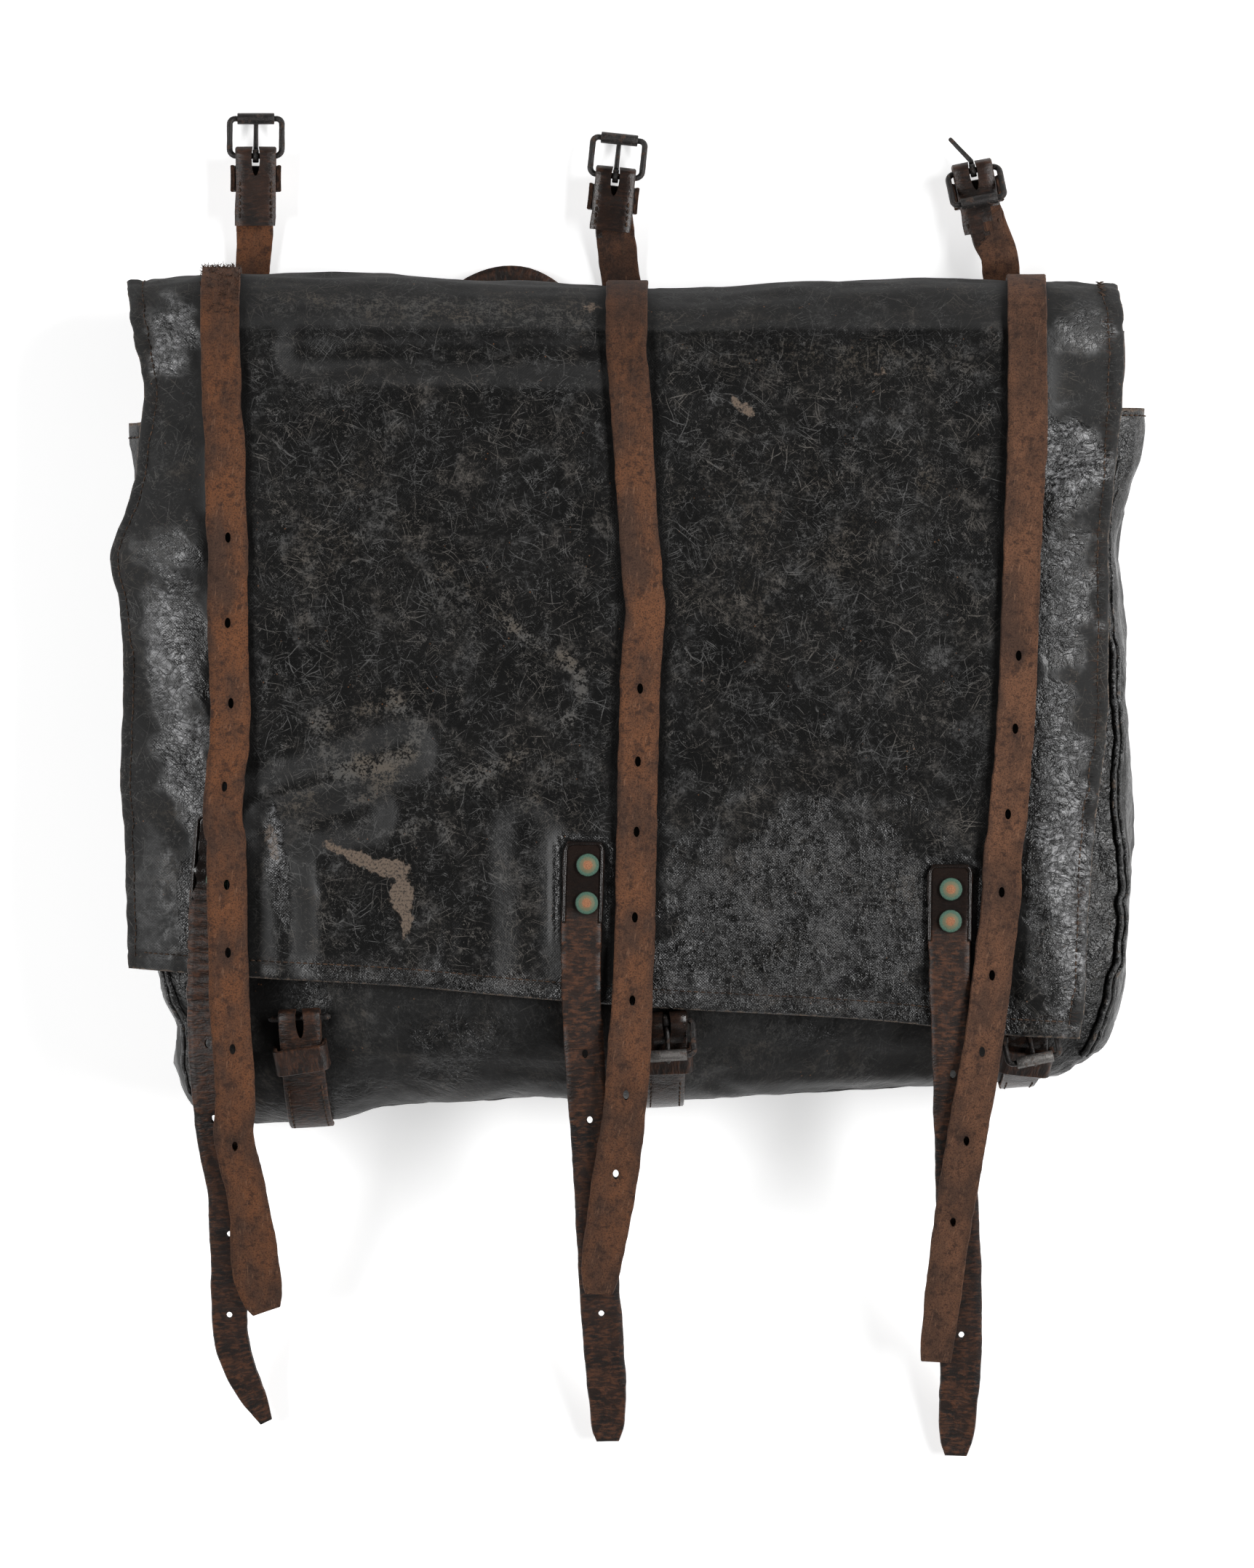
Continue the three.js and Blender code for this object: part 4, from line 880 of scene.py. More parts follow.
def rusty_iron(name, dark, light):
    """Old iron of two tones with brown rust crumbs."""
    s = Shader(name)
    place = s.place()
    rust = s.between(s.noise(place, 2.4, 5, 0.7), 0.52, 0.66)
    fine = s.noise(place, 0.6, 4, 0.65)
    metal = s.mix(fine, dark, light)
    scale = s.mix(fine, (0.030, 0.013, 0.008), (0.125, 0.060, 0.032))
    colour = s.mix(s.times(rust, 0.75), metal, scale)
    rough = s.add(0.42, s.times(rust, 0.35))
    normal = s.bump(s.add(fine, s.times(rust, 0.8)), 0.22)
    return s.finish(colour, rough, normal, s.between(rust, 0.0, 1.0, 0.75, 0.1))


def old_copper():
    """Rivet head: orange in the middle, then tan, with green tarnish on the rim and a dark outline."""
    s = Shader("old_copper")
    place = s.place()
    patch = s.noise(place, 1.3, 4, 0.7)
    fine = s.noise(place, 0.35, 3, 0.6)
    ring = s.add(s.value("ring"), s.around(patch, 0.22))
    orange = s.mix(s.between(fine, 0.3, 0.7), (0.21, 0.083, 0.036), (0.42, 0.185, 0.085))
    green = s.mix(s.between(fine, 0.3, 0.7), (0.030, 0.085, 0.060), (0.085, 0.165, 0.115))
    colour = s.mix(s.between(ring, 0.30, 0.52), orange, (0.155, 0.150, 0.085))
    colour = s.mix(s.between(ring, 0.58, 0.80), colour, green)
    colour = s.mix(s.between(ring, 0.93, 1.02), colour, (0.010, 0.020, 0.016))
    return s.finish(colour, 0.66, s.bump(s.add(patch, fine), 0.12))


def waxed_thread():
    """Brown linen sewing thread."""
    s = Shader("waxed_thread")
    place = s.place()
    tone = s.noise(place, 5, 3)
    colour = s.mix(s.between(tone, 0.35, 0.65), (0.022, 0.014, 0.010), (0.085, 0.050, 0.032))
    return s.finish(colour, 0.75, s.bump(s.noise(place, 0.35, 2), 0.1), specular=0.3)


CANVAS = painted_canvas()
RAW = raw_canvas()
FLESH = flesh_leather()
GRAIN = grain_leather()
CUT = cut_leather()
IRON = rusty_iron("black_iron", (0.016, 0.015, 0.015), (0.075, 0.070, 0.068))
STEEL = rusty_iron("bare_iron", (0.060, 0.056, 0.053), (0.300, 0.285, 0.270))
COPPER = old_copper()
THREAD = waxed_thread()

# Leather by its upper side, lower side and edges
FLESH_UP = [FLESH, GRAIN, CUT]
GRAIN_UP = [GRAIN, FLESH, CUT]


# Straps lying on the flap
def lay_strap(rows, lift):
    """Places on a strap that lies on the flap, by its height: centre, cross direction, width and normal."""
    x_of, width_of = column(rows, "y", "x"), column(rows, "y", "width")

    def station(y):
        y = np.asarray(y, float)
        x, width = x_of(y), width_of(y)
        face = flap_point(x, FOLD_Y - y)
        normal = flap_normal(x, FOLD_Y - y)
        across = unit(np.stack([normal[..., 2], 0 * y, -normal[..., 0]], -1))
        ridges = []
        for share in (-0.5, -0.25, 0, 0.25, 0.5):
            beside = flap_point(x + share * width, FOLD_Y - y) - face
            ridges.append((beside * normal).sum(-1))
        at = face + normal * (lift(y) + np.max(ridges, axis=0))[..., None]
        return at, across, width, normal

    return station


STATION_STEP = 1.7
STRAP_STATIONS = {
    side: lay_strap(BLANKET_FRONT[side], column(BLANKET_FRONT[side], "y", "lift")) for side in SIDES
}
CLOSING_STATIONS = {side: lay_strap(CLOSING[side], lambda y: CLOSING_LIFT + 0 * y) for side in SIDES}


def strap_path(*stretches):
    """Joins stretches of (places, cross directions, widths) into one path with its directions and length."""
    at = np.vstack([s[0] for s in stretches])
    across = np.vstack([np.broadcast_to(s[1], s[0].shape) for s in stretches])
    width = np.concatenate([np.broadcast_to(s[2], len(s[0])) for s in stretches])
    along = unit(np.gradient(at, axis=0))
    across = unit(across - (across * along).sum(-1, keepdims=True) * along)
    return dict(at=at, across=across, up=np.cross(across, along), along=along, width=width, run=run_along(at))


# Section of a strap: shares of half the width and of half the thickness
STRAP_SECTION = np.array(
    [(-0.94, -1), (-0.5, -1), (0, -1), (0.5, -1), (0.94, -1), (1, -0.5), (1, 0.5), (0.94, 1), (0.66, 1)]
    + [(0.33, 1), (0, 1), (-0.33, 1), (-0.66, 1), (-0.94, 1), (-1, 0.5), (-1, -0.5)]
)
EDGE_SHARE = 0.9
LUMP = 9.0


def strap_mesh(path, thickness, seed, rough, waves=()):
    """Points and faces of an uneven strap with rounded edges; waves are cross folds (run, half, depth)."""
    share, height = STRAP_SECTION.T
    run = path["run"]
    lumps = [ripple(np.column_stack([run, 0 * run]), LUMP, seed + k, 4) * rough for k in range(4)]
    right, left, bowed, raised = (row[:, None] for row in lumps)
    lift = np.zeros(len(run))
    for at, half, depth in waves:
        lift += depth * bell(run, at, half)
    across = share * path["width"][:, None] / 2
    across = across + np.where(share > EDGE_SHARE, right, 0) + np.where(share < -EDGE_SHARE, left, 0)
    cup = (share**2 - 0.4) * (0.12 + bowed * 0.25)
    up = height * thickness / 2 + cup + lift[:, None] + raised * 0.2
    aside = across[..., None] * path["across"][:, None]
    points = path["at"][:, None] + aside + up[..., None] * path["up"][:, None]
    return points.reshape(-1, 3), capped_faces(len(run), len(share), flip=True)


def slit_cutter(at, across, along, normal, wide, long, deep=4.5, sides=14):
    """Long round hole through a strap."""
    turn = np.arange(sides) * 2 * math.pi / sides
    ring = np.cos(turn)[:, None] * across * wide / 2 + np.sin(turn)[:, None] * along * long / 2
    return np.vstack([at + ring - normal * deep, at + ring + normal * deep]), capped_faces(2, sides)


def slot_cutter(bar, across, out, up):
    """Slot of a chape for the tongue, round at its far end."""
    return slit_cutter(bar - out, across, out, up, CHAPE_SLOT, CHAPE_SLOT_LENGTH, 4.6, 18)


def hole_cutter(station, y, size, shift=0.0):
    """Hole of a strap at a height, with its place and the strap's normal there."""
    at, across, _, normal = station(y)
    at = at + across * shift
    return slit_cutter(at, across, np.cross(normal, across), normal, *size), (at, normal)


def cut_mesh(piece, cutters):
    """Cuts closed shapes out of a piece."""
    tool_mesh = make_mesh("cutter", *joined(cutters))
    work = bmesh.new()
    work.from_mesh(tool_mesh)
    bmesh.ops.recalc_face_normals(work, faces=work.faces)
    work.to_mesh(tool_mesh)
    work.free()
    tool = bpy.data.objects.new("cutter", tool_mesh)
    bpy.context.scene.collection.objects.link(tool)
    cut = piece.modifiers.new("cut", "BOOLEAN")
    cut.operation = "DIFFERENCE"
    cut.solver = "EXACT"
    cut.object = tool
    evaluated = piece.evaluated_get(bpy.context.evaluated_depsgraph_get())
    mesh = bpy.data.meshes.new_from_object(evaluated)
    piece.modifiers.clear()
    old, piece.data = piece.data, mesh
    bpy.data.objects.remove(tool)
    for spare in (old, tool_mesh):
        bpy.data.meshes.remove(spare)


def read_vectors(items, name):
    """A vector of each vertex or face of a mesh."""
    values = np.empty(len(items) * 3, np.float32)
    items.foreach_get(name, values)
    return values.reshape(-1, 3).astype(float)


def on_path(path, points):
    """Place of each point along, across and above a strap, and its nearest station."""
    tree = KDTree(len(path["at"]))
    for i, p in enumerate(path["at"]):
        tree.insert(p, i)
    tree.balance()
    near = np.array([tree.find(p)[1] for p in points])
    off = points - path["at"][near]
    across = (off * path["across"][near]).sum(-1)
    along = path["run"][near] + (off * path["along"][near]).sum(-1)
    return across, along, (off * path["up"][near]).sum(-1), near


def dress_strap(piece, path, holes=(), dirt=0.0, wear=0.3):
    """Marks a strap and picks its materials by side; dirt and wear are numbers or functions of its run."""
    across, along, above, near = on_path(path, read_vectors(piece.data.vertices, "co") / MM)
    dirt, wear = (amount(along) if callable(amount) else amount for amount in (dirt, wear))
    edge = step(np.abs(across) / (path["width"][near] / 2), 0.82, 1.0)
    grime = np.maximum(0.25 * edge, dirt)
    for hole in holes:
        grime = np.maximum(grime, 0.6 * bell(np.hypot(across * 0.8, (along - hole) * 0.55), 0, 1.9))
    flat = np.column_stack([across, along, above])
    mark(piece, flat=flat, grime=grime, wear=np.clip(wear + 0.6 * edge, 0, 1))
    faces = piece.data.polygons
    beside = on_path(path, read_vectors(faces, "center") / MM)[3]
    facing = (read_vectors(faces, "normal") * path["up"][beside]).sum(-1)
    picks = np.where(facing > 0.5, 0, np.where(facing < -0.5, 1, 2))
    faces.foreach_set("material_index", picks.astype(np.int32))
    faces.foreach_set("use_smooth", np.full(len(faces), True))
    piece.data.set_sharp_from_angle(angle=SHARP_ANGLE)


def add_strap(node, path, materials, seed, rough=0.15, thickness=LEATHER, waves=(), cutters=(), **looks):
    """A strap of leather that stands for a node."""
    points, faces = strap_mesh(path, thickness, seed, rough, waves)
    piece = add_piece(f"{node}_leather", points, faces, materials, "leather", [node])
    if cutters:
        cut_mesh(piece, cutters)
    dress_strap(piece, path, **looks)
    return piece


# Flap
FINE_BAND = 10.0
FINE_STEP = 0.9
FLAP_STEP = 2.1
ROLL_ROWS = 37
BACK_ROWS = 21
HEM_INSET = 6.6


def spread(length, fine_start, fine_end):
    """Shares from 0 to 1 along a length, closer together near the ends that ask for it."""
    marks = [0.0]
    while marks[-1] < length:
        near = (fine_start and marks[-1] < FINE_BAND) or (fine_end and marks[-1] > length - FINE_BAND)
        marks.append(marks[-1] + (FINE_STEP if near else FLAP_STEP))
    return np.array(marks) / marks[-1]


# Marks on the painted face: blobs by centre, half sizes, turn in degrees and strength
BLOB = "x y rx ry turn amount"
CRUMPLED_CORNER = table(BLOB, (-184, 178, 18, 26, 0, 1.0))
# Glossy places, which also carry the painted sheen and painted glints of the canvas
GLOSS_AND_SHEEN_BLOBS = table(
    BLOB,
    (-180, 48, 13, 40, 4, 1.0),
    (-176, 8, 11, 34, 12, 0.9),
    (-181, 178, 13, 18, 0, 0.85),
    (-182, 92, 14, 10, 0, 0.6),
    (-172, -48, 8, 26, 0, 0.8),
    (-186, -50, 14, 34, 0, 0.35),
    (74, -52, 66, 48, 0, 0.72),
    (24, -74, 22, 20, 20, 0.9),
    (-60, -84, 100, 12, -5, 0.55),
    (100, -90, 84, 14, -4, 0.65),
    (172, -30, 14, 84, 2, 1.0),
    (172, 78, 16, 44, 0, 0.75),
    (176, 128, 16, 22, 20, 0.95),
    (182, 182, 14, 16, 0, 0.5),
    (-139, -30, 5, 24, 6, 0.9),
)
DUST_BLOBS = table(
    BLOB,
    (-122, 26, 6, 7, -20, 0.8),
    (-118, 12, 7, 6, -30, 0.8),
    (-107, 6, 14, 6.5, 4, 1.0),
    (-93, 9, 9, 6, 20, 0.95),
    (-85, 17, 4.5, 10, -18, 0.9),
    (-91, 32, 4, 8, 35, 0.9),
    (-101, 30, 7, 4, 20, 0.7),
    (-101, -3, 12, 4, 28, 0.9),
    (-132, -8, 14, 4, 26, 0.6),
    (-58, 3, 22, 4.5, 28, 0.85),
    (-40, -8, 9, 3.5, 24, 0.7),
    (-88, -18, 12, 3.2, 18, 0.7),
    (-72, 75, 16, 12, -40, 0.55),
    (-43, 61, 14, 3.6, -36, 0.95),
    (-24, 49, 6, 4.5, -50, 1.0),
    (-18.5, 38, 3.6, 9, -4, 1.0),
    (-23, 27, 3.6, 6, -24, 0.9),
    (-28, 4, 9, 11, 40, 0.45),
    (-60, 190, 90, 9, -2, 0.6),
    (90, 170, 60, 7, -2, 0.5),
    (-110, 104, 26, 34, 0, 0.3),
    (60, 98, 50, 40, 0, 0.28),
    (118, 118, 5, 26, 0, 0.5),
    (60, -20, 40, 30, 0, 0.25),
    (104, -42, 20, 12, 0, 0.4),
    (-183, -30, 6, 26, 0, 0.35),
)
BARE_BLOBS = table(
    BLOB,
    (-116, -25.5, 7, 2.2, -24, 0.8),
    (-106, -29.5, 7, 2.8, -18, 1.0),
    (-95, -33.5, 8, 4.6, -10, 1.0),
    (-90, -44, 5, 8, 10, 1.0),
    (-88, -55, 3, 7, 0, 0.8),
    (43.0, 153, 2.6, 1.3, -15, 0.9),
    (47, 149.2, 4.0, 1.9, -24, 1.0),
    (50, 147.4, 1.4, 1.8, 20, 0.9),
    (-141, -24, 2.6, 9, 8, 0.75),
    (101, 163.4, 3.0, 1.6, -6, 0.55),
    (-14, 194, 5, 3, 0, 0.6),
)


def blobs(points, rows, seed):
    """The strongest of soft ellipses with uneven rims at each point."""
    rim = 1 + 0.45 * ripple(points, 9, seed, 4)
    mask = np.zeros(points.shape[:-1])
    for row in rows:
        turn = math.radians(row["turn"])
        dx, dy = points[..., 0] - row["x"], points[..., 1] - row["y"]
        u = (dx * math.cos(turn) + dy * math.sin(turn)) / row["rx"]
        v = (dy * math.cos(turn) - dx * math.sin(turn)) / row["ry"]
        off = np.sqrt(u * u + v * v) / rim
        mask = np.maximum(mask, row["amount"] * (1 - step(off, 0.55, 1.25)))
    return mask


def under_straps(x, y):
    """1 under or near a strap on the flap, 0 away from it: the strip beside each strap also holds its painted
    shadow.
    """
    near = np.zeros(np.broadcast(x, y).shape)
    straps = [(rows, 90) for rows in BLANKET_FRONT.values()] + [(rows, 3) for rows in CLOSING.values()]
    for rows, beyond in straps:
        off = np.abs(x - column(rows, "y", "x")(y)) - column(rows, "y", "width")(y) / 2
        inside = (y >= rows[0]["y"] - 3) & (y <= rows[-1]["y"] + beyond)
        near = np.maximum(near, np.where(inside, 1 - step(off, 0.8, 5.0), 0))
    return near


def round_plates(x, y, corner=2.5):
    """Ridge of the canvas pressed up round the riveted ends of the closing straps."""
    ridge = np.zeros(np.broadcast(x, y).shape)
    for side in ("middle", "right"):
        top = CLOSING[side][-1]
        dx = np.maximum(np.abs(x - column(CLOSING[side], "y", "x")(y)) - top["width"] / 2 + corner, 0)
        dy = np.maximum(y - top["y"] + corner, 0)
        off = np.hypot(dx, dy) - corner
        fade = step(y, top["y"] - 46, top["y"] - 30)
        ridge = np.maximum(ridge, fade * bell(off, 2.0, 1.3))
    return ridge


def seam_inset(y):
    """Distance of the side seams from the flap's edge, wider near the top."""
    return 5.0 + 2.2 * step(y, 110, 190)


def flap_grid():
    """Outer face of the flap with its relief, its flat coordinates and the masks of its paint, of its painted
    sheen and glints, and of the painted shadow beside the straps.
    """
    front = spread(FOLD_Y - HEM[3]["y"], False, True)
    roll = -np.linspace(1, 0, ROLL_ROWS + 1)[:-1]
    back = -np.linspace(2, 1, BACK_ROWS + 1)[:-1]
    across = spread(RIGHT_EDGE[5]["x"] - LEFT_EDGE[5]["x"], True, True)
    share, row = np.meshgrid(across, np.concatenate([back, roll, front]))
    x, distance = flap_station(share, row)
    plain, normal = flap_point(x, distance), flap_normal(x, distance)
    flat = np.stack([x, FOLD_Y - distance], -1)
    flat_y = flat[..., 1]
    edges = plain[:, :1], plain[:, -1:], plain[-1:]
    left, right, bottom = (np.linalg.norm(plain - edge, axis=-1) for edge in edges)
    sides = np.minimum(left, right)
    edge = np.minimum(sides, bottom)
    strap_cover_and_shadow, plates = under_straps(x, flat_y), round_plates(x, flat_y)

    # Creases, slack, wrinkles along the roll, wavy rims and the crumpled upper left corner
    relief = sum_of_lines(flat, CREASES)
    relief += 0.9 * ripple(flat * np.array([0.55, 1.0]), 26, 3, 3)
    rolled = step(flat_y, 150, 176) * (1 - step(flat_y, 262, 270))
    relief += rolled * 0.9 * ripple(flat * np.array([0.16, 1.0]), 6, 5, 3)
    relief += step(-sides, -34, -8) * 0.7 * ripple(flat, 10, 7, 3)
    relief += blobs(flat, CRUMPLED_CORNER, 2) * ripple(flat, 6, 11, 3)
    relief *= (1 - 0.85 * strap_cover_and_shadow) * (1 - 0.9 * step(flat_y, 250, 262))

    # Turned hems, their seams, thin edges and the ridge round the plates
    from_side, from_hem = sides - seam_inset(flat_y), bottom - HEM_INSET
    relief += 0.5 * (1 - step(np.minimum(from_side, from_hem), -0.6, 1.4))
    relief -= 0.45 * np.minimum(bell(from_side, 0, 1.0) + bell(from_hem, 0, 1.0), 1)
    relief -= 0.7 * (1 - step(edge, 0.0, 1.6))
    relief += 1.3 * plates

    gloss = np.maximum(blobs(flat, GLOSS_AND_SHEEN_BLOBS, 21), 0.8 * plates)
    seam = bell(from_side, 0, 2.6) * np.where(right < left, 1.0, 0.45)
    masks = dict(
        # Tilt of the face: where glossy it places painted glints, where not it makes the finish rougher
        slope=step(np.degrees(np.arccos(np.clip(normal[..., 2], -1, 1))), 4, 22),
        gloss=gloss,
        # Less dust beside the straps: cleaner paint there, and partly a painted shadow of the straps
        dust=blobs(flat, DUST_BLOBS, 22) * (1 - 0.8 * strap_cover_and_shadow),
        bare=np.maximum(blobs(flat, BARE_BLOBS, 23), 0.62 * (1 - step(edge, 0.2, 1.3))),
        # Fewer scuffs beside the straps (cleaner paint and partly a painted shadow of the straps), on glossy
        # places and towards the top
        scuff=(1 - 0.9 * strap_cover_and_shadow) * (1 - 0.7 * gloss) * (1 - 0.3 * step(flat_y, 150, 180)),
        seam=np.maximum(seam, 0.4 * bell(from_hem, 0, 2.2)),
        cloth=1 - 0.75 * step(x, 140, 158),
    )
    return plain + normal * relief[..., None], flat, masks


flap_outer, flap_flat, flap_masks = flap_grid()
flap_normals = grid_normals(flap_outer)
flap_inner = flap_outer - flap_normals * CANVAS_WALL
flap_inner[..., 2] = np.maximum(flap_inner[..., 2], FLAP_BACK)
flap_points, flap_faces, flap_counts = shell(flap_outer, flap_inner)
flap_picks = np.repeat([0, 1, 1], flap_counts)
flap = add_piece("flap_canvas", flap_points, flap_faces, [CANVAS, RAW], "canvas", ["flap"], picks=flap_picks)
flap_places = np.pad(flap_flat.reshape(-1, 2), ((0, 0), (0, 1)))
mark(flap, flat=np.tile(flap_places, (2, 1)))
mark(flap, **{name: np.tile(mask.ravel(), 2) for name, mask in flap_masks.items()})


# Buckles
FRAME_HALF_WIDTH = 10.45
FRAME_LENGTH = 15.4
FRAME_CORNERS = table(
    "x y radius start", (1, 0, 2.8, -90), (1, 1, 2.2, 0), (-1, 1, 2.2, 90), (-1, 0, 2.8, 180),
)
ROLLER_HALF = 7.4
ROLLER_OUTER = 2.3
ROLLER_INNER = 1.65
ROLLER_BEVEL = 0.15
EYE_HALF = ((1.65, 1.0), (1.85, 1.2), (2.5, 1.2), (2.7, 0.9))
EYE_WALL = [(radius, -x) for radius, x in EYE_HALF] + list(EYE_HALF[::-1])
UPPER_TONGUE = {"left": (0, 0), "middle": (0, 0), "right": (-148, -32)}
joints = {joint["name"]: joint for joint in frame["joints"]}


def buckle_axes(kind, side):
    """Middle of a buckle's bar and its axes: along the bar, towards the roller, and across both."""
    swing, spin = joints[f"{kind}_frame_{side}_swing"], joints[f"{kind}_roller_{side}_spin"]
    bar = np.array(swing["pos_m"]) / MM
    along_bar = unit(np.array(swing["axis"], float))
    to_roller = unit(np.array(spin["pos_m"]) / MM - bar)
    return bar, np.array([along_bar, to_roller, np.cross(along_bar, to_roller)])


def frame_corner(row):
    """Quarter turn of a frame's corner."""
    turn = np.radians(row["start"] + np.linspace(0, 90, 7))
    inward = row["radius"] if row["y"] == 0 else -row["radius"]
    centre = np.array([row["x"] * (FRAME_HALF_WIDTH - row["radius"]), row["y"] * FRAME_LENGTH + inward])
    return centre + row["radius"] * np.column_stack([np.cos(turn), np.sin(turn)])


def frame_wire():
    """Wire frame of a buckle in its own axes."""
    line = np.vstack([frame_corner(row) for row in FRAME_CORNERS])
    dense = []
    for a, b in zip(line, np.roll(line, -1, 0)):
        count = max(1, int(np.linalg.norm(b - a) / 1.2))
        dense += [a + (b - a) * k / count for k in range(count)]
    dense = np.column_stack([dense, np.zeros(len(dense))])
    return tube(dense, WIRE * (1 + 0.05 * ripple(dense, 2.5, 41, 2)), 12, loop=True)


def turned_wall(wall, turn):
    """Points of a wall of (radius, place along X) turned about X."""
    rings = [[(x, r * math.cos(a), r * math.sin(a)) for r, x in wall] for a in turn]
    return np.array(rings).reshape(-1, 3)


def rolled_tube():
    """Roller of a buckle: a sheet rolled round the bar with an open seam, along X."""
    turn = np.radians(np.linspace(6, 354, 32))
    bevel = ROLLER_OUTER - ROLLER_BEVEL
    wall = [(ROLLER_INNER, 1), (bevel, 1)]
    wall += [(ROLLER_OUTER, share) for share in (0.965, 0.5, 0, -0.5, -0.965)]
    wall += [(bevel, -1), (ROLLER_INNER, -1), (ROLLER_INNER, 0)]
    points = turned_wall([(radius, share * ROLLER_HALF) for radius, share in wall], turn)
    return points + (0, FRAME_LENGTH, 0), capped_faces(len(turn), len(wall))


def tongue_shape(face, bend):
    """Tongue of a buckle: an eye round the bar and a tapered prong on one face of the frame."""
    turn = np.radians(np.linspace(0, 360, 25)[:-1])
    eye = turned_wall(EYE_WALL, turn), looped_faces(len(turn), len(EYE_WALL))
    reach = FRAME_LENGTH + 1.6 if bend == 0 else FRAME_LENGTH - 0.6
    key = np.array([(1.5, 0.7), (2.1, 0.9), (4.6, 1.5), (10, 2.8), (reach - 1, 3.55), (reach, 3.6)])
    y = np.concatenate([np.linspace(1.5, reach - 0.6, 26), [reach - 0.2, reach]])
    z = np.interp(y, key[:, 0], key[:, 1]) * face
    x = math.tan(math.radians(bend)) * np.maximum(0, y - 4)
    radius = np.interp(y, [1.5, 5, reach - 0.6, reach - 0.2, reach], [1.05, 1.0, 0.9, 0.7, 0.35])
    return joined([eye, tube(np.column_stack([x, y, z]), radius, 10)])


def add_buckle(kind, side):
    bar, axes = buckle_axes(kind, side)
    face = -1 if kind == "blanket" else 1
    turn, bend = UPPER_TONGUE[side] if kind == "blanket" else (0, 0)
    c, s = math.cos(math.radians(turn)), math.sin(math.radians(turn))
    tilt = np.array([[1, 0, 0], [0, c, s], [0, -s, c]])
    for part, (points, faces), turned in (
        ("frame", frame_wire(), np.eye(3)),
        ("roller", rolled_tube(), np.eye(3)),
        ("tongue", tongue_shape(face, bend), tilt),
    ):
        node = f"{kind}_{part}_{side}"
        metal = STEEL if (kind, part) == ("closing", "roller") else IRON
        placed = bar + points @ turned @ axes
        piece = add_piece(f"{node}_iron", placed, faces, [metal], "iron", [node], body=node)
        piece.data.set_sharp_from_angle(angle=SHARP_ANGLE)


for side in SIDES:
    add_buckle("blanket", side)
for side in ("middle", "right"):
    add_buckle("closing", side)


# Blanket straps
X_AXIS, Z_AXIS = np.array([1.0, 0, 0]), np.array([0, 0, 1.0])
CHAPE_WIDTH = 16.2
BLANKET_HOLE = (2.4, 4.2)
BLANKET_DIRT = {"left": 0.25, "middle": 0.6, "right": 0.35}
BLANKET_TINT = {"left": 1.0, "middle": 0.75, "right": 0.25}
STITCH_START = {"left": 9, "middle": 9, "right": 19.5}
STITCH_HALF_SPREAD = 6.4
stitch_lines = []


def half_turn(bar, out, up):
    """Leather round a buckle's bar, from the lower layer to the upper one."""
    turn = np.radians(np.linspace(-90, 90, 17))
    return bar + FOLD_RADIUS * (np.sin(turn)[:, None] * up + np.cos(turn)[:, None] * out)


def along_line(start, end):
    count = max(2, int(np.linalg.norm(np.subtract(end, start)) / STATION_STEP) + 1)
    return np.linspace(start, end, count)


def blanket_path(side):
    """Path of a blanket strap from its free end up the front, over the roll and round its buckle's bar."""
    rows, back = BLANKET_FRONT[side], BLANKET_BACK[side]
    top = rows[-1]
    heights = np.linspace(rows[0]["y"], FOLD_Y, int((FOLD_Y - rows[0]["y"]) / STATION_STEP))[:-1]
    front = STRAP_STATIONS[side](heights)[:3]
    share = np.linspace(0, 1, 50)
    lift = top["lift"] + (TURN_LIFT - top["lift"]) * share
    roll = flap_point(top["x"], -share * ROLL_LENGTH)
    roll = roll + flap_normal(np.full(len(share), top["x"]), -share * ROLL_LENGTH) * lift[:, None]
    upper, lower = FLAP_BACK - TURN_LIFT, back[0]["z"]
    half = (upper - lower) / 2
    under = along_line((top["x"], FOLD_Y - 1, upper), (top["x"], TURN_Y + 1, upper))
    turn = np.radians(np.linspace(80, -80, 9))
    turned_z = lower + half * (1 + np.sin(turn))
    turned = np.column_stack([0 * turn + top["x"], TURN_Y - half * np.cos(turn), turned_z])

    bar, axes = buckle_axes("blanket", side)
    across = axes[0]
    out = np.array([-across[1], across[0], 0])
    layer = (LEATHER + GAP) / 2

    def neck(away, up):
        return bar - out * away + Z_AXIS * up

    leg = catmull([(row["x"], row["y"], row["z"]) for row in back] + [neck(13, -layer)], 52)[1:]
    blend = np.linspace(0, 1, len(leg))[:, None]
    leg_across = unit(X_AXIS * (1 - blend) + across * blend)
    path = strap_path(
        front,
        (roll, X_AXIS, top["width"]),
        (under, X_AXIS, top["width"]),
        (turned, X_AXIS, top["width"]),
        (leg, leg_across, column(back, "y", "width")(leg[:, 1])),
        (along_line(neck(11.5, -layer), neck(8, -layer - 0.1)), across, CHAPE_WIDTH),
        (half_turn(bar, out, Z_AXIS), across, CHAPE_WIDTH),
        (along_line(neck(8, layer), neck(CHAPE_LENGTH[side], layer)), across, CHAPE_WIDTH),
    )
    return path, len(heights), (bar, across, out)


def keeper_path(half, depth, keeper, at, across, out, up, corner=2.2):
    """Path round a keeper loop, open upwards, in the axes of its leg."""
    middle = half + keeper["wall"] / 2
    low = -depth + keeper["wall"] / 2
    turn = np.radians(np.linspace(0, 90, 7))
    over, down = corner - corner * np.cos(turn), corner - corner * np.sin(turn)
    left = np.column_stack([-middle + over, low + down])
    right = np.column_stack([middle - down, low + over])
    arms = np.array([(-middle, 0), (-middle, low / 2)]), np.array([(middle, low / 2), (middle, 0)])
    line = resample(np.vstack([arms[0], left, [(0, low)], right, arms[1]]), 40)
    points = at + line[:, :1] * across + line[:, 1:] * up - out * keeper["length"] / 2
    return strap_path((points, out, keeper["length"]))


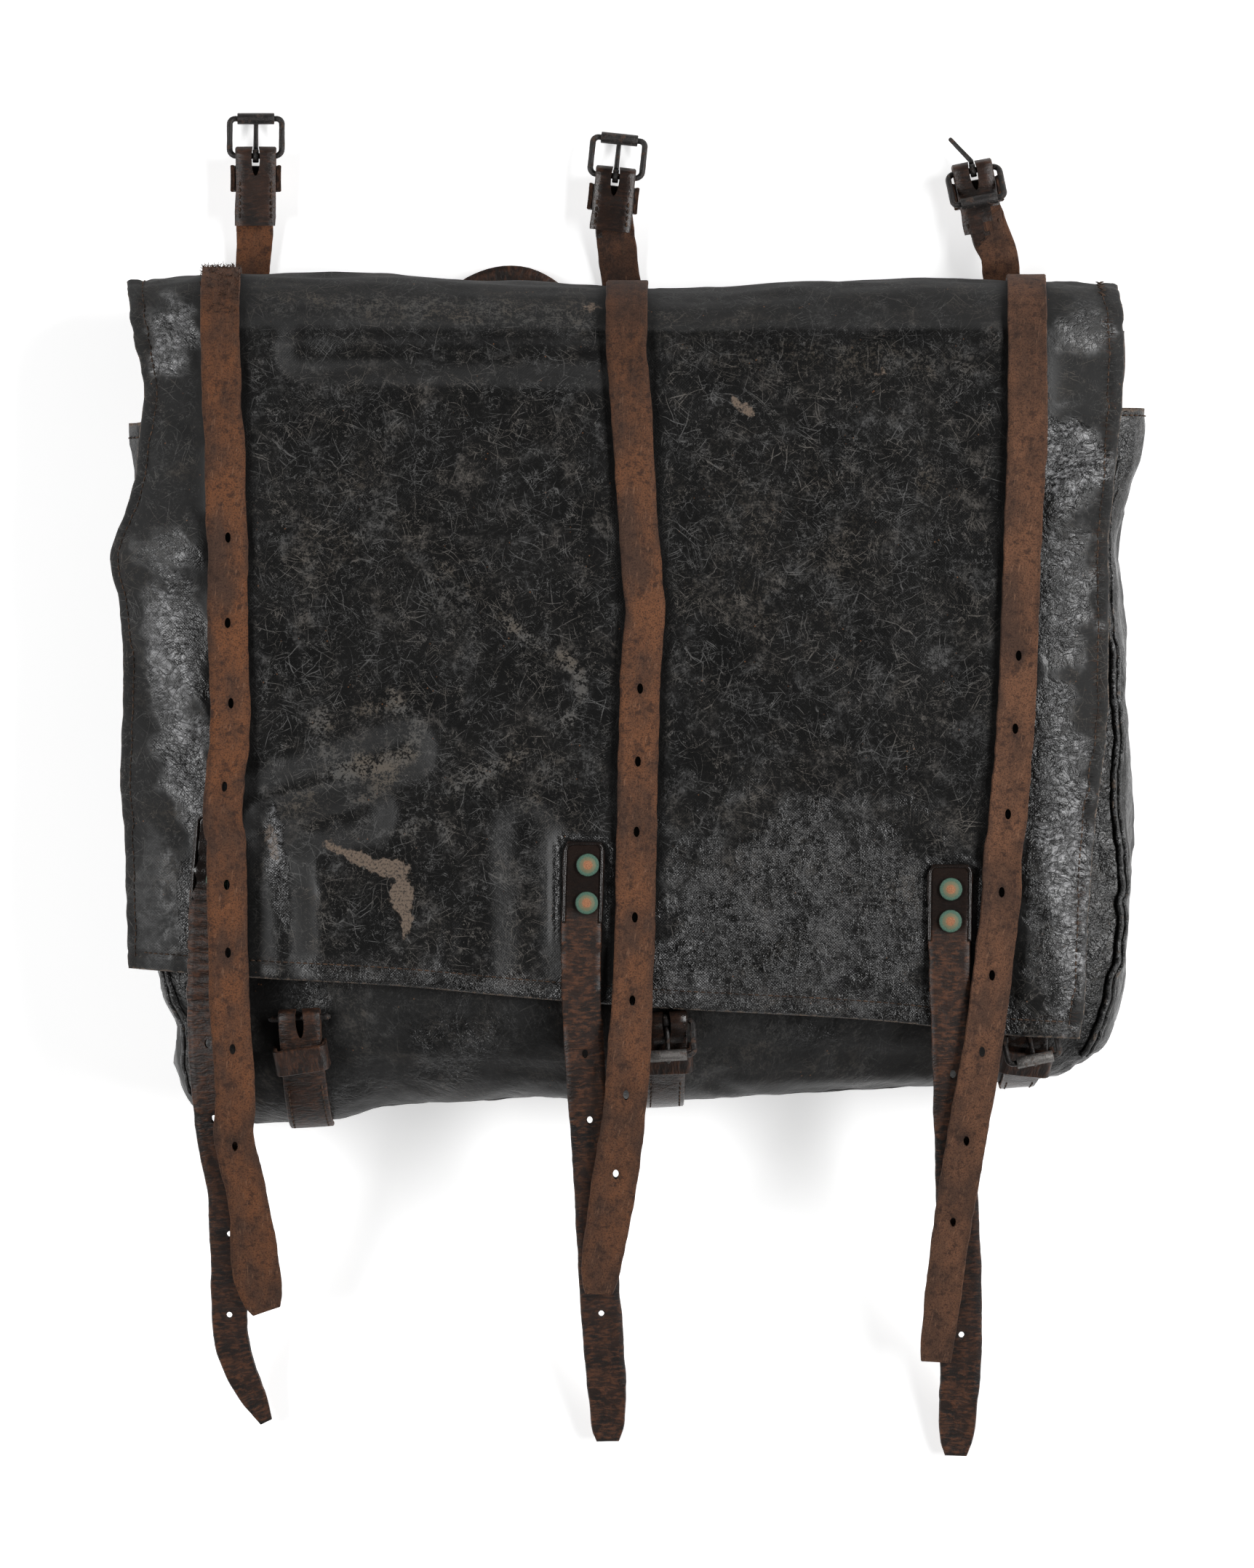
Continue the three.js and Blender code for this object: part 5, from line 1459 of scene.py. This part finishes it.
for number, side in enumerate(SIDES):
    path, front_count, (bar, across, out) = blanket_path(side)
    front_y, front_run = path["at"][:front_count, 1], path["run"][:front_count]
    hole_runs = [np.interp(y, front_y, front_run) for y in BLANKET_HOLES[side]]
    top_run = path["run"][front_count]
    cutters = [hole_cutter(STRAP_STATIONS[side], y, BLANKET_HOLE)[0] for y in BLANKET_HOLES[side]]
    strap = add_strap(
        f"blanket_strap_{side}", path, FLESH_UP, 50 + number, 0.4,
        waves=[(run, 2.2, -0.35) for run in hole_runs] + [(run + 14, 3.0, 0.3) for run in hole_runs],
        cutters=cutters + [slot_cutter(bar, across, out, Z_AXIS)],
        holes=hole_runs,
        dirt=lambda run: BLANKET_DIRT[side] * step(run, top_run - 90, top_run + 30),
        wear=0.25,
    )
    mark(strap, tint=BLANKET_TINT[side])

    keeper = UPPER_KEEPER
    depth = FOLD_RADIUS + LEATHER / 2 + GAP + keeper["room"] + keeper["wall"]
    seat = bar - out * keeper["from"]
    loop = keeper_path(CHAPE_WIDTH / 2 + GAP, depth, keeper, seat, across, out, Z_AXIS)
    add_strap(f"blanket_keeper_{side}", loop, FLESH_UP, 60 + number, thickness=keeper["wall"])
    for share in (-1, 1):
        start = bar + across * share * STITCH_HALF_SPREAD + Z_AXIS * (LEATHER + GAP / 2)
        ends = [start - out * away for away in (STITCH_START[side], CHAPE_LENGTH[side] - 2)]
        stitch_lines.append((np.array(ends), np.array([Z_AXIS] * 2)))


# Closing straps and rivets
RIVET_PROFILE = ((1.5, -1.1), (1.5, 1.5), (4.3, 1.5), (4.6, 1.75), (4.55, 2.15), (4.1, 2.4), (3.4, 2.3))
RIVET_CROWN = ((3.0, 2.45), (2.2, 2.75), (1.2, 2.95), (0.4, 3.0))
RIVET_SIDES = 26
CLOSING_HOLE = (2.4, 3.6)
RIVET_HOLE = (3.8, 3.8)
FRAYED_FOLDS = np.linspace(-92, -30, 14)
RIM_RADIUS = 0.7


def add_rivet(node, at, normal):
    """Rivet of turned copper, with a raised crown on its head."""
    profile = RIVET_PROFILE + RIVET_CROWN
    turn = np.arange(RIVET_SIDES) * 2 * math.pi / RIVET_SIDES
    points = np.array([(r * math.cos(a), r * math.sin(a), h) for r, h in profile for a in turn])
    side_axis = unit(np.cross(np.array([0, 1.0, 0]), normal))
    axes = np.array([side_axis, np.cross(normal, side_axis), normal])
    faces = capped_faces(len(profile), RIVET_SIDES)
    head = add_piece(f"{node}_copper", at + points @ axes, faces, [COPPER], "copper", [node])
    mark(head, ring=np.hypot(points[:, 0], points[:, 1]) / RIVET_HEAD)


def add_rim(side, top, low):
    """Raised rim round the riveted end of a closing strap."""
    half, corner = top["width"] / 2 - 1.2, 3
    bend = top["y"] - corner - 0.6
    turn = np.radians(np.linspace(0, 90, 7))
    u = np.concatenate([[half] * 12, half - corner + corner * np.cos(turn)])
    y = np.concatenate([np.linspace(low, bend, 12), bend + corner * np.sin(turn)])
    u, y = np.concatenate([u, -u[::-1]]), np.concatenate([y, y[::-1]])
    at, across, _, normal = CLOSING_STATIONS[side](y)
    line = resample(at + across * u[:, None] + normal * (LEATHER / 2 + 0.1), 90)
    points, faces = tube(line, RIM_RADIUS * (1 + 0.2 * ripple(line, 5, 75, 2)), 8, flat=normal[0])
    rim = add_piece(f"closing_rim_{side}", points, faces, [GRAIN], "leather")
    mark(rim, flat=points, grime=1, wear=0)


for number, side in enumerate(SIDES):
    low, top = CLOSING[side][0], CLOSING[side][-1]
    heights = np.linspace(low["y"], top["y"], int((top["y"] - low["y"]) / STATION_STEP))
    at, across, width, _ = CLOSING_STATIONS[side](heights)
    rounded = np.sqrt(np.clip((top["y"] - heights) / 4.0, 0.25, 1))
    path = strap_path((at, across, width * (0.55 + 0.45 * rounded)))
    hole_runs = np.interp(CLOSING_HOLES[side], path["at"][:, 1], path["run"])
    waves = [(run, 2.0, -0.3) for run in hole_runs]
    if side == "left":
        folds = np.interp(FRAYED_FOLDS, path["at"][:, 1], path["run"])
        waves += [(run, 2.4, 0.9 * (-1) ** k) for k, run in enumerate(folds)]
    cutters = [hole_cutter(CLOSING_STATIONS[side], y, CLOSING_HOLE)[0] for y in CLOSING_HOLES[side]]
    rivets = [hole_cutter(CLOSING_STATIONS[side], y, RIVET_HOLE, RIVET_SHIFT[side]) for y in RIVETS[side]]
    low_rivet = np.interp(RIVETS[side][1], path["at"][:, 1], path["run"])
    add_strap(
        f"closing_strap_{side}", path, GRAIN_UP, 70 + number, 0.4,
        waves=waves,
        cutters=cutters + [cutter for cutter, _ in rivets],
        holes=hole_runs,
        dirt=lambda run: 0.9 * step(run, low_rivet - 7, low_rivet + 1),
        wear=lambda run: 0.7 * (1 - step(run, low_rivet - 12, low_rivet)),
    )
    for (_, seat), place in zip(rivets, ("upper", "lower")):
        add_rivet(f"rivet_{side}_{place}", *seat)
    add_rim(side, top, RIVETS[side][1] - 8)


# Lower chapes and keepers on the pouch
CHAPE_DIRT = {"left": 0.2, "middle": 0.75, "right": 0.75}
CHAPE_STEP = 1.4
STITCH_EDGE = 1.9
CHAPE_RISE = table(
    "away lift", (8, FRONT_LIFT + 0.5), (14, FRONT_LIFT), (19, FRONT_LIFT - 0.5), (25, UNDER_LIFT + 0.6),
    (31, UNDER_LIFT), (60, UNDER_LIFT),
)


def lower_chape(side):
    """Path of a lower chape from its hidden end round the bar and down the pouch, and its bar's axes."""
    spec = LOWER[side]
    turned = math.radians(spec["turn"])
    lift_of = column(CHAPE_RISE, "away", "lift")

    def shift(away):
        swerve = (math.tan(turned) - spec["lean"]) * LEG_SWERVE * (1 - math.exp(-away / LEG_SWERVE))
        return spec["x"] + spec["lean"] * away + swerve

    def lay(reach, lift):
        faces = [pouch_front(shift(away), spec["y"], away) for away in reach]
        at = np.array([at + normal * lift(away) for away, (at, _, _, normal) in zip(reach, faces)])
        return at, np.array([across for _, _, across, _ in faces])

    base, base_along, base_across, up = pouch_front(spec["x"], spec["y"], 0)
    across = unit(base_across * math.cos(turned) - base_along * math.sin(turned))
    out = unit(np.cross(up, across))
    bar = base + up * BAR_LIFT
    hidden = lay(np.arange(15, 7, -CHAPE_STEP), lambda away: UNDER_LIFT)
    reach = np.arange(8, spec["tail"], CHAPE_STEP)
    tail_width = LOWER_WIDTH + (spec["tail_width"] - LOWER_WIDTH) * step(reach, 14, 32)
    path = strap_path(
        (*hidden, LOWER_WIDTH),
        (half_turn(bar, out, up), across, LOWER_WIDTH),
        (*lay(reach, lambda away: float(lift_of(away))), tail_width),
    )
    return path, (bar, across, out, up), shift


for number, side in enumerate(SIDES):
    spec = LOWER[side]
    path, (bar, across, out, up), shift = lower_chape(side)
    add_strap(
        f"closing_chape_{side}", path, FLESH_UP, 80 + number, 0.2,
        cutters=[slot_cutter(bar, across, out, up)],
        dirt=CHAPE_DIRT[side],
        wear=0.45,
    )
    tail_start = np.searchsorted(path["run"], path["run"][-1] - (spec["tail"] - 24))
    for share in (-1, 1):
        edge = path["across"] * (path["width"][:, None] / 2 - STITCH_EDGE) * share - path["up"] * LEATHER / 2
        stitch_lines.append(((path["at"] + edge)[tail_start:-1], -path["up"][tail_start:-1]))

    keeper = LOWER_KEEPER
    middle = keeper["from"] + keeper["length"] / 2
    seat, seat_along, seat_across, seat_up = pouch_front(shift(middle), spec["y"], middle)
    seat_across = unit(seat_across - seat_along * spec["lean"])
    seat_out = unit(np.cross(seat_up, seat_across))
    depth = FRONT_LIFT + LEATHER / 2 + spec["room"] + keeper["wall"]
    seat = seat + seat_up * 2 * GAP + seat_out * keeper["length"] / 2
    loop = keeper_path(LOWER_WIDTH / 2 + 2 * GAP, depth, keeper, seat, -seat_across, seat_out, -seat_up)
    add_strap(f"closing_keeper_{side}", loop, GRAIN_UP, 90 + number, thickness=keeper["wall"])
    if side == "left":
        line = np.linspace(-1, 1, 30)[:, None] * BROKEN_BAR_HALF * across + bar
        radius = WIRE * np.concatenate([[0.6, 0.9], np.ones(26), [0.9, 0.6]])
        radius = np.minimum(radius * (1 + 0.08 * ripple(line, 2.0, 44, 2)), 1.28)
        points, faces = tube(line, radius, 12, flat=up)
        add_piece("closing_bar_left_iron", points, faces, [IRON], "iron", ["closing_bar_left"])


# Pouch
POUCH_COLUMNS = 260
POUCH_STEP = 3.0
TOP_COLUMN = 60


def pouch_shell(wall):
    """Rings of the pouch from the mouth to its closed lower end."""
    sections = [(y, 0) for y in np.arange(POUCH_MOUTH, POUCH_LOW, -POUCH_STEP)]
    sections += [(POUCH_LOW, math.radians(angle)) for angle in np.arange(0, 88, 3)]
    return np.array([pouch_ring(pouch_section(y, angle, wall), POUCH_COLUMNS) for y, angle in sections])


def ring_normals(rings):
    """Outward normals of rings that close on themselves."""
    along = np.gradient(rings, axis=0)
    around = np.roll(rings, -1, 1) - np.roll(rings, 1, 1)
    normals = unit(np.cross(around, along))
    middle = rings.mean(axis=1, keepdims=True)
    return normals * np.sign(((rings - middle) * normals).sum(-1, keepdims=True).mean())


def near_chapes(points):
    """1 under a lower chape or keeper, 0 away from them."""
    near = np.zeros(points.shape[:-1])
    for spec in LOWER.values():
        lean = spec["x"] + spec["lean"] * np.clip(spec["y"] - points[..., 1], 0, 60)
        inside = (points[..., 2] > POUCH_MIDDLE) & (points[..., 1] < spec["y"] + 14)
        near = np.maximum(near, np.where(inside, 1 - step(np.abs(points[..., 0] - lean), 11, 20), 0))
    return near


def pouch_relief(rings):
    """Slack, fine wrinkles, side folds and dents of the pouch, flat under the chapes."""
    relief = 1.0 * ripple(rings, 24, 13, 4) + 0.35 * ripple(rings, 7, 17, 3)
    beside = step(np.abs(rings[..., 0]), 150, 172)
    relief += beside * 1.3 * ripple(rings * np.array([1.0, 0.22, 1.0]), 6.5, 19, 3)
    relief += sum_of_lines(rings, POUCH_FOLDS, "xyz")
    near = near_chapes(rings)
    relief = np.where(near > 0, np.minimum(relief, 0.25) * (1 - near), relief)
    return np.clip(relief, -3.0, 1.6) * (1 - 0.6 * step(rings[..., 1], 140, 150))


def settled(rings):
    """The pouch as it lies: its left ear lower, its lower left corner pushed in and its lower edge lifted."""
    x, y = rings[..., 0], rings[..., 1]
    moved = rings.copy()
    moved[..., 1] -= 6 * step(-x, 184, 195) * step(y, 100, 148)
    moved[..., 0] += 6 * bell(y, -97, 10) * step(-x, 150, 178)
    moved[..., 1] += 4.5 * step(-y, 96, 124) * step(x, -116, -94) * (1 - step(x, -44, 2))
    moved[..., 1] -= 4.5 * step(-y, 96, 116) * bell(x, -173, 8)
    return moved


def end_cap(first, count, flip):
    """Faces across a flat ring, from one side to the other."""
    caps = []
    for k in range(count // 2):
        quad = (first + k, first + k + 1, first + count - k - 1, first + (count - k) % count)
        caps.append(quad[::-1] if flip else quad)
    return caps


pouch_outer, pouch_inner = pouch_shell(0), pouch_shell(CANVAS_WALL)
relief = pouch_relief(pouch_outer)
pouch_outer = pouch_outer + ring_normals(pouch_outer) * relief[..., None]
pouch_outer[..., 2] = np.maximum(pouch_outer[..., 2], 0)
pouch_inner = pouch_inner + ring_normals(pouch_inner) * np.minimum(relief, 0)[..., None]
pouch_outer, pouch_inner = settled(pouch_outer), settled(pouch_inner)

rings = np.concatenate([pouch_outer[::-1], pouch_inner])
walls = grid_faces(len(rings), POUCH_COLUMNS, wrap=True)
caps = end_cap(0, POUCH_COLUMNS, False) + end_cap((len(rings) - 1) * POUCH_COLUMNS, POUCH_COLUMNS, True)
rim_row = len(pouch_outer) - 1
outer_count, cap_count = rim_row * POUCH_COLUMNS, POUCH_COLUMNS // 2
pouch_picks = np.repeat([0, 1, 0, 1], [outer_count, len(walls) - outer_count, cap_count, cap_count])
pouch = add_piece(
    "pouch_canvas", rings.reshape(-1, 3), [*walls, *caps], [CANVAS, RAW], "canvas", ["pouch"],
    picks=pouch_picks,
)
down = run_along(pouch_outer[:, TOP_COLUMN])
down = np.concatenate([down[::-1], down])
around, down = np.meshgrid(run_along(pouch_outer[0]), down)
mouth = np.zeros(rings.shape[:2])
mouth[rim_row : rim_row + 2] = 1
# Glossy places of the pouch, more on its right side, where painted sheen and glints go too
pouch_gloss = 0.15 + 0.5 * np.clip(ripple(rings, 30, 31, 3), 0, 1) + 0.4 * step(rings[..., 0], 160, 176)
mark(
    pouch,
    flat=np.stack([around, down, 0 * down + 40], -1),
    gloss=np.minimum(pouch_gloss, 1),
    dust=0.14 + 0.36 * np.clip(ripple(rings, 22, 33, 3), 0, 1),
    bare=0.9 * mouth,
    scuff=0.28,
    slope=0.3,
    cloth=0.2,
)

# Welts of the side seams: two ridges side by side, at a share of the height of the front
WELT_LEVEL = 0.55
WELT_RIDGES = table("shift radius", (1.0, 1.25), (-1.0, 1.05))
for side, sign in (("right", 1), ("left", -1)):
    low, high = (np.array(corner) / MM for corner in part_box(f"welt_{side}"))
    seat = []
    for ring in pouch_outer:
        level = POUCH_MIDDLE + (ring[:, 2].max() - POUCH_MIDDLE) * WELT_LEVEL
        beside = ring[(ring[:, 2] > POUCH_MIDDLE) & (ring[:, 0] * sign > 0)]
        beside = beside[np.argsort(beside[:, 2])]
        seat.append([np.interp(level, beside[:, 2], beside[:, k]) for k in (0, 1)] + [level])
    seat = resample(np.array([p for p in seat if low[1] + 1 < p[1] < high[1] - 1]), 160)
    pressed = step(seat[:, 1], 52, 62)
    seat[:, 0] += 0.5 * ripple(seat, 16, 34, 2)
    ridges = []
    for row in WELT_RIDGES:
        line = seat + np.array([sign * 1.2, 0, 0.6]) + np.array([-sign, 0, 0.8]) * row["shift"]
        line -= pressed[:, None] * np.array([sign * 1.2, 0, 0.8])
        thick = row["radius"] * (1 + 0.22 * ripple(line, 4, 35 + row["shift"], 3)) * (1 - 0.5 * pressed)
        ridges.append(tube(line, thick, 10))
    points, faces = joined(ridges)
    welt = add_piece(f"welt_{side}_canvas", points, faces, [CANVAS], "canvas", [f"welt_{side}"])
    bare = np.clip(ripple(points, 6, 37, 3) - 0.15, 0, 0.8)
    # Glossy and tilted all round: the welts take painted glints
    mark(welt, flat=points, gloss=0.6, dust=0.1, slope=1, scuff=0.3, bare=bare)

# Shoulder straps
for side, rows in SHOULDER_STRAPS.items():
    line = catmull([(row["x"], row["y"], SHOULDER_HEIGHT) for row in rows], 90)
    tangent = unit(np.gradient(line, axis=0))
    path = strap_path((line, np.cross(tangent, Z_AXIS), SHOULDER_WIDTH))
    add_strap(f"shoulder_strap_{side}", path, GRAIN_UP, 100 + len(side), thickness=SHOULDER_LEATHER)

# Stitches: pitch, length and thread radius
HEM_STITCH = (2.7, 2.0, 0.30)
EAR_STITCH = (2.7, 2.0, 0.32)
CHAPE_STITCH = (2.6, 1.7, 0.33)
CORNER_STITCHES = range(2, 12)
CORNER_THREAD = 0.32
SIDE_ROWS_SKIPPED = (36, 4)
HEM_COLUMNS_SKIPPED = 7
EARS = table("sign y", (1, 145.6), (-1, 138.4))
KNOT_PLACE = np.array([-175.0, -121.0, 34.0])


def stitch(start, end, up, radius):
    """One stitch: a short thread that dips into the cloth at both ends."""
    t = np.linspace(0, 1, 6)[:, None]
    sunk = (4 * t * (1 - t)) ** 0.5
    line = start + (end - start) * t + up * (radius * 1.1 * sunk - radius * 0.5)
    return tube(line, radius * np.array([0.6, 0.95, 1, 1, 0.95, 0.6]), 6, flat=up)


def stitch_row(line, ups, size):
    """Stitches at an even pitch along a line."""
    pitch, length, radius = size
    run = run_along(line)

    def along(values, s):
        return np.array([np.interp(s, run, values[:, k]) for k in range(3)])

    return [
        stitch(along(line, s), along(line, s + length), unit(along(ups, s + length / 2)), radius)
        for s in np.arange(pitch / 2, run[-1] - length, pitch)
    ]


def side_row(sign):
    """Stitch line along one side of the flap."""
    first, spare = SIDE_ROWS_SKIPPED
    line, ups = [], []
    for r in range(first, len(flap_outer) - spare):
        points, normals = flap_outer[r][:: -sign], flap_normals[r][:: -sign]
        off = np.linalg.norm(points - points[0], axis=-1)
        c = int(np.searchsorted(off[:60], seam_inset(flap_flat[r, 0, 1])))
        line.append(points[c])
        ups.append(normals[c])
    return np.array(line), np.array(ups)


def hem_row():
    """Stitch line along the hem of the flap."""
    from_hem = np.linalg.norm(flap_outer - flap_outer[-1:], axis=-1)[::-1]
    columns = range(HEM_COLUMNS_SKIPPED, flap_outer.shape[1] - HEM_COLUMNS_SKIPPED)
    places = [(len(flap_outer) - 1 - int(np.searchsorted(from_hem[:, c], HEM_INSET)), c) for c in columns]
    return tuple(np.array([grid[place] for place in places]) for grid in (flap_outer, flap_normals))


hem_stitches = []
for row in (side_row(-1), side_row(1), hem_row()):
    hem_stitches += stitch_row(*row, HEM_STITCH)
corner_line, corner_ups = side_row(1)
for k in CORNER_STITCHES:
    lean = np.array([1.6, 0.9 * (-1) ** k, 0])
    at, up = corner_line[k] + corner_ups[k] * 0.2, corner_ups[k]
    hem_stitches.append(stitch(at - lean, at + lean, up, CORNER_THREAD))
for row in EARS:
    side_column = 0 if row["sign"] > 0 else POUCH_COLUMNS // 2
    ring = pouch_outer[np.argmin(np.abs(pouch_outer[:, side_column, 1] - row["y"]))]
    ear = ring[(ring[:, 0] * row["sign"] > 186) & (ring[:, 2] > POUCH_MIDDLE)]
    ear = ear[np.argsort(ear[:, 2])]
    ups = unit(np.tile([row["sign"] * 0.6, 0, 0.8], (len(ear), 1)))
    hem_stitches += stitch_row(ear + ups * 0.4, ups, EAR_STITCH)
add_piece("flap_hem_stitches", *joined(hem_stitches), [THREAD], "canvas")
coil = np.linspace(0, 6 * math.pi, 60)
knot = np.column_stack([1.7 * np.cos(coil), 3.0 * np.sin(coil * 0.83), 1.2 * np.sin(coil * 1.31)])
add_piece("corner_knot", *tube(knot + KNOT_PLACE, 0.55, 8), [THREAD], "canvas")

chape_stitches = []
for line, ups in stitch_lines:
    chape_stitches += stitch_row(line, ups, CHAPE_STITCH)
add_piece("chape_stitches", *joined(chape_stitches), [THREAD], "leather")

# Loose fibres at the worn top of the left strap
FIBRE_COUNT = 260
chance = np.random.default_rng(7)
fibres = []
strap_top = BLANKET_FRONT["left"][-1]
for _ in range(FIBRE_COUNT):
    x = strap_top["x"] + chance.uniform(-0.5, 0.5) * strap_top["width"]
    along_roll = -chance.uniform(0.1, 0.62) * ROLL_LENGTH
    out = flap_normal(np.array(x), np.array(along_roll))
    start = flap_point(x, along_roll) + out * (strap_top["lift"] + LEATHER / 2 - 0.2)
    lean = unit(out * 0.7 + chance.normal(0, 0.55, 3))
    bend = chance.normal(0, 0.5, 3)
    t = np.linspace(0, 1, 4)[:, None]
    line = start + lean * t * chance.uniform(0.8, 2.4) + bend * t * t
    fibres.append(tube(line, chance.uniform(0.12, 0.22) * np.array([1, 0.9, 0.7, 0.4]), 5))
fray_points, fray_faces = joined(fibres)
fray = add_piece("strap_fray", fray_points, fray_faces, [CUT], "leather")
mark(fray, flat=fray_points)

# Stage, lights and camera, in metres and watts
FLOOR_HALF = 4.0
FLOOR_Z = -0.0004
FLOOR_GLOW = 0.51
ROOM_GLOW = 0.03
AIM = (0, 0, 0.03)
LIGHTS = table(
    "name place size power",
    ("key", (1.5, 0.85, 1.25), (0.6, 0.6), 17),
    ("right_box", (1.52, -0.1, 1.36), (1.3, 0.55), 24),
    ("left_box", (-1.52, 0.1, 1.36), (1.2, 0.55), 26),
    ("front_strip", (0.3, -1.8, 1.1), (1.2, 0.4), 2),
)
PHOTO_HEIGHT_PX = 2156
MM_PER_PX = 0.29
CAMERA_DISTANCE = 7.0
REFERENCE_HEIGHT = 0.045
WHITE = (1, 1, 1, 1)
scene = bpy.context.scene
scene.view_settings.view_transform = "Standard"

floor_mesh = bpy.data.meshes.new("floor")
floor_corners = [(x * FLOOR_HALF, y * FLOOR_HALF, FLOOR_Z) for x, y in ((-1, -1), (1, -1), (1, 1), (-1, 1))]
floor_mesh.from_pydata(floor_corners, [], [(0, 1, 2, 3)])
floor = bpy.data.objects.new("floor", floor_mesh)
scene.collection.objects.link(floor)
paper = Shader("white_paper")
paper.surface.inputs["Emission Color"].default_value = WHITE
paper.surface.inputs["Emission Strength"].default_value = FLOOR_GLOW
floor_mesh.materials.append(paper.finish((0.86, 0.86, 0.86), 0.9, specular=0.1))

world = bpy.data.worlds.new("room")
world.use_nodes = True
world.node_tree.nodes["Background"].inputs["Color"].default_value = WHITE
world.node_tree.nodes["Background"].inputs["Strength"].default_value = ROOM_GLOW
scene.world = world

for row in LIGHTS:
    light = bpy.data.lights.new(row["name"], "AREA")
    light.shape = "RECTANGLE"
    light.size, light.size_y = row["size"]
    light.energy = row["power"]
    box = bpy.data.objects.new(row["name"], light)
    box.location = row["place"]
    box.rotation_euler = (Vector(AIM) - Vector(row["place"])).to_track_quat("-Z", "Y").to_euler()
    scene.collection.objects.link(box)

camera_data = bpy.data.cameras.new("camera")
camera_data.sensor_fit = "VERTICAL"
camera_data.sensor_height = 24.0
frame_height = PHOTO_HEIGHT_PX * MM_PER_PX * MM
camera_data.lens = camera_data.sensor_height * CAMERA_DISTANCE / frame_height
camera_data.clip_end = 100
camera = bpy.data.objects.new("camera", camera_data)
camera.location = (0, 0, CAMERA_DISTANCE + REFERENCE_HEIGHT)
scene.collection.objects.link(camera)
scene.camera = camera
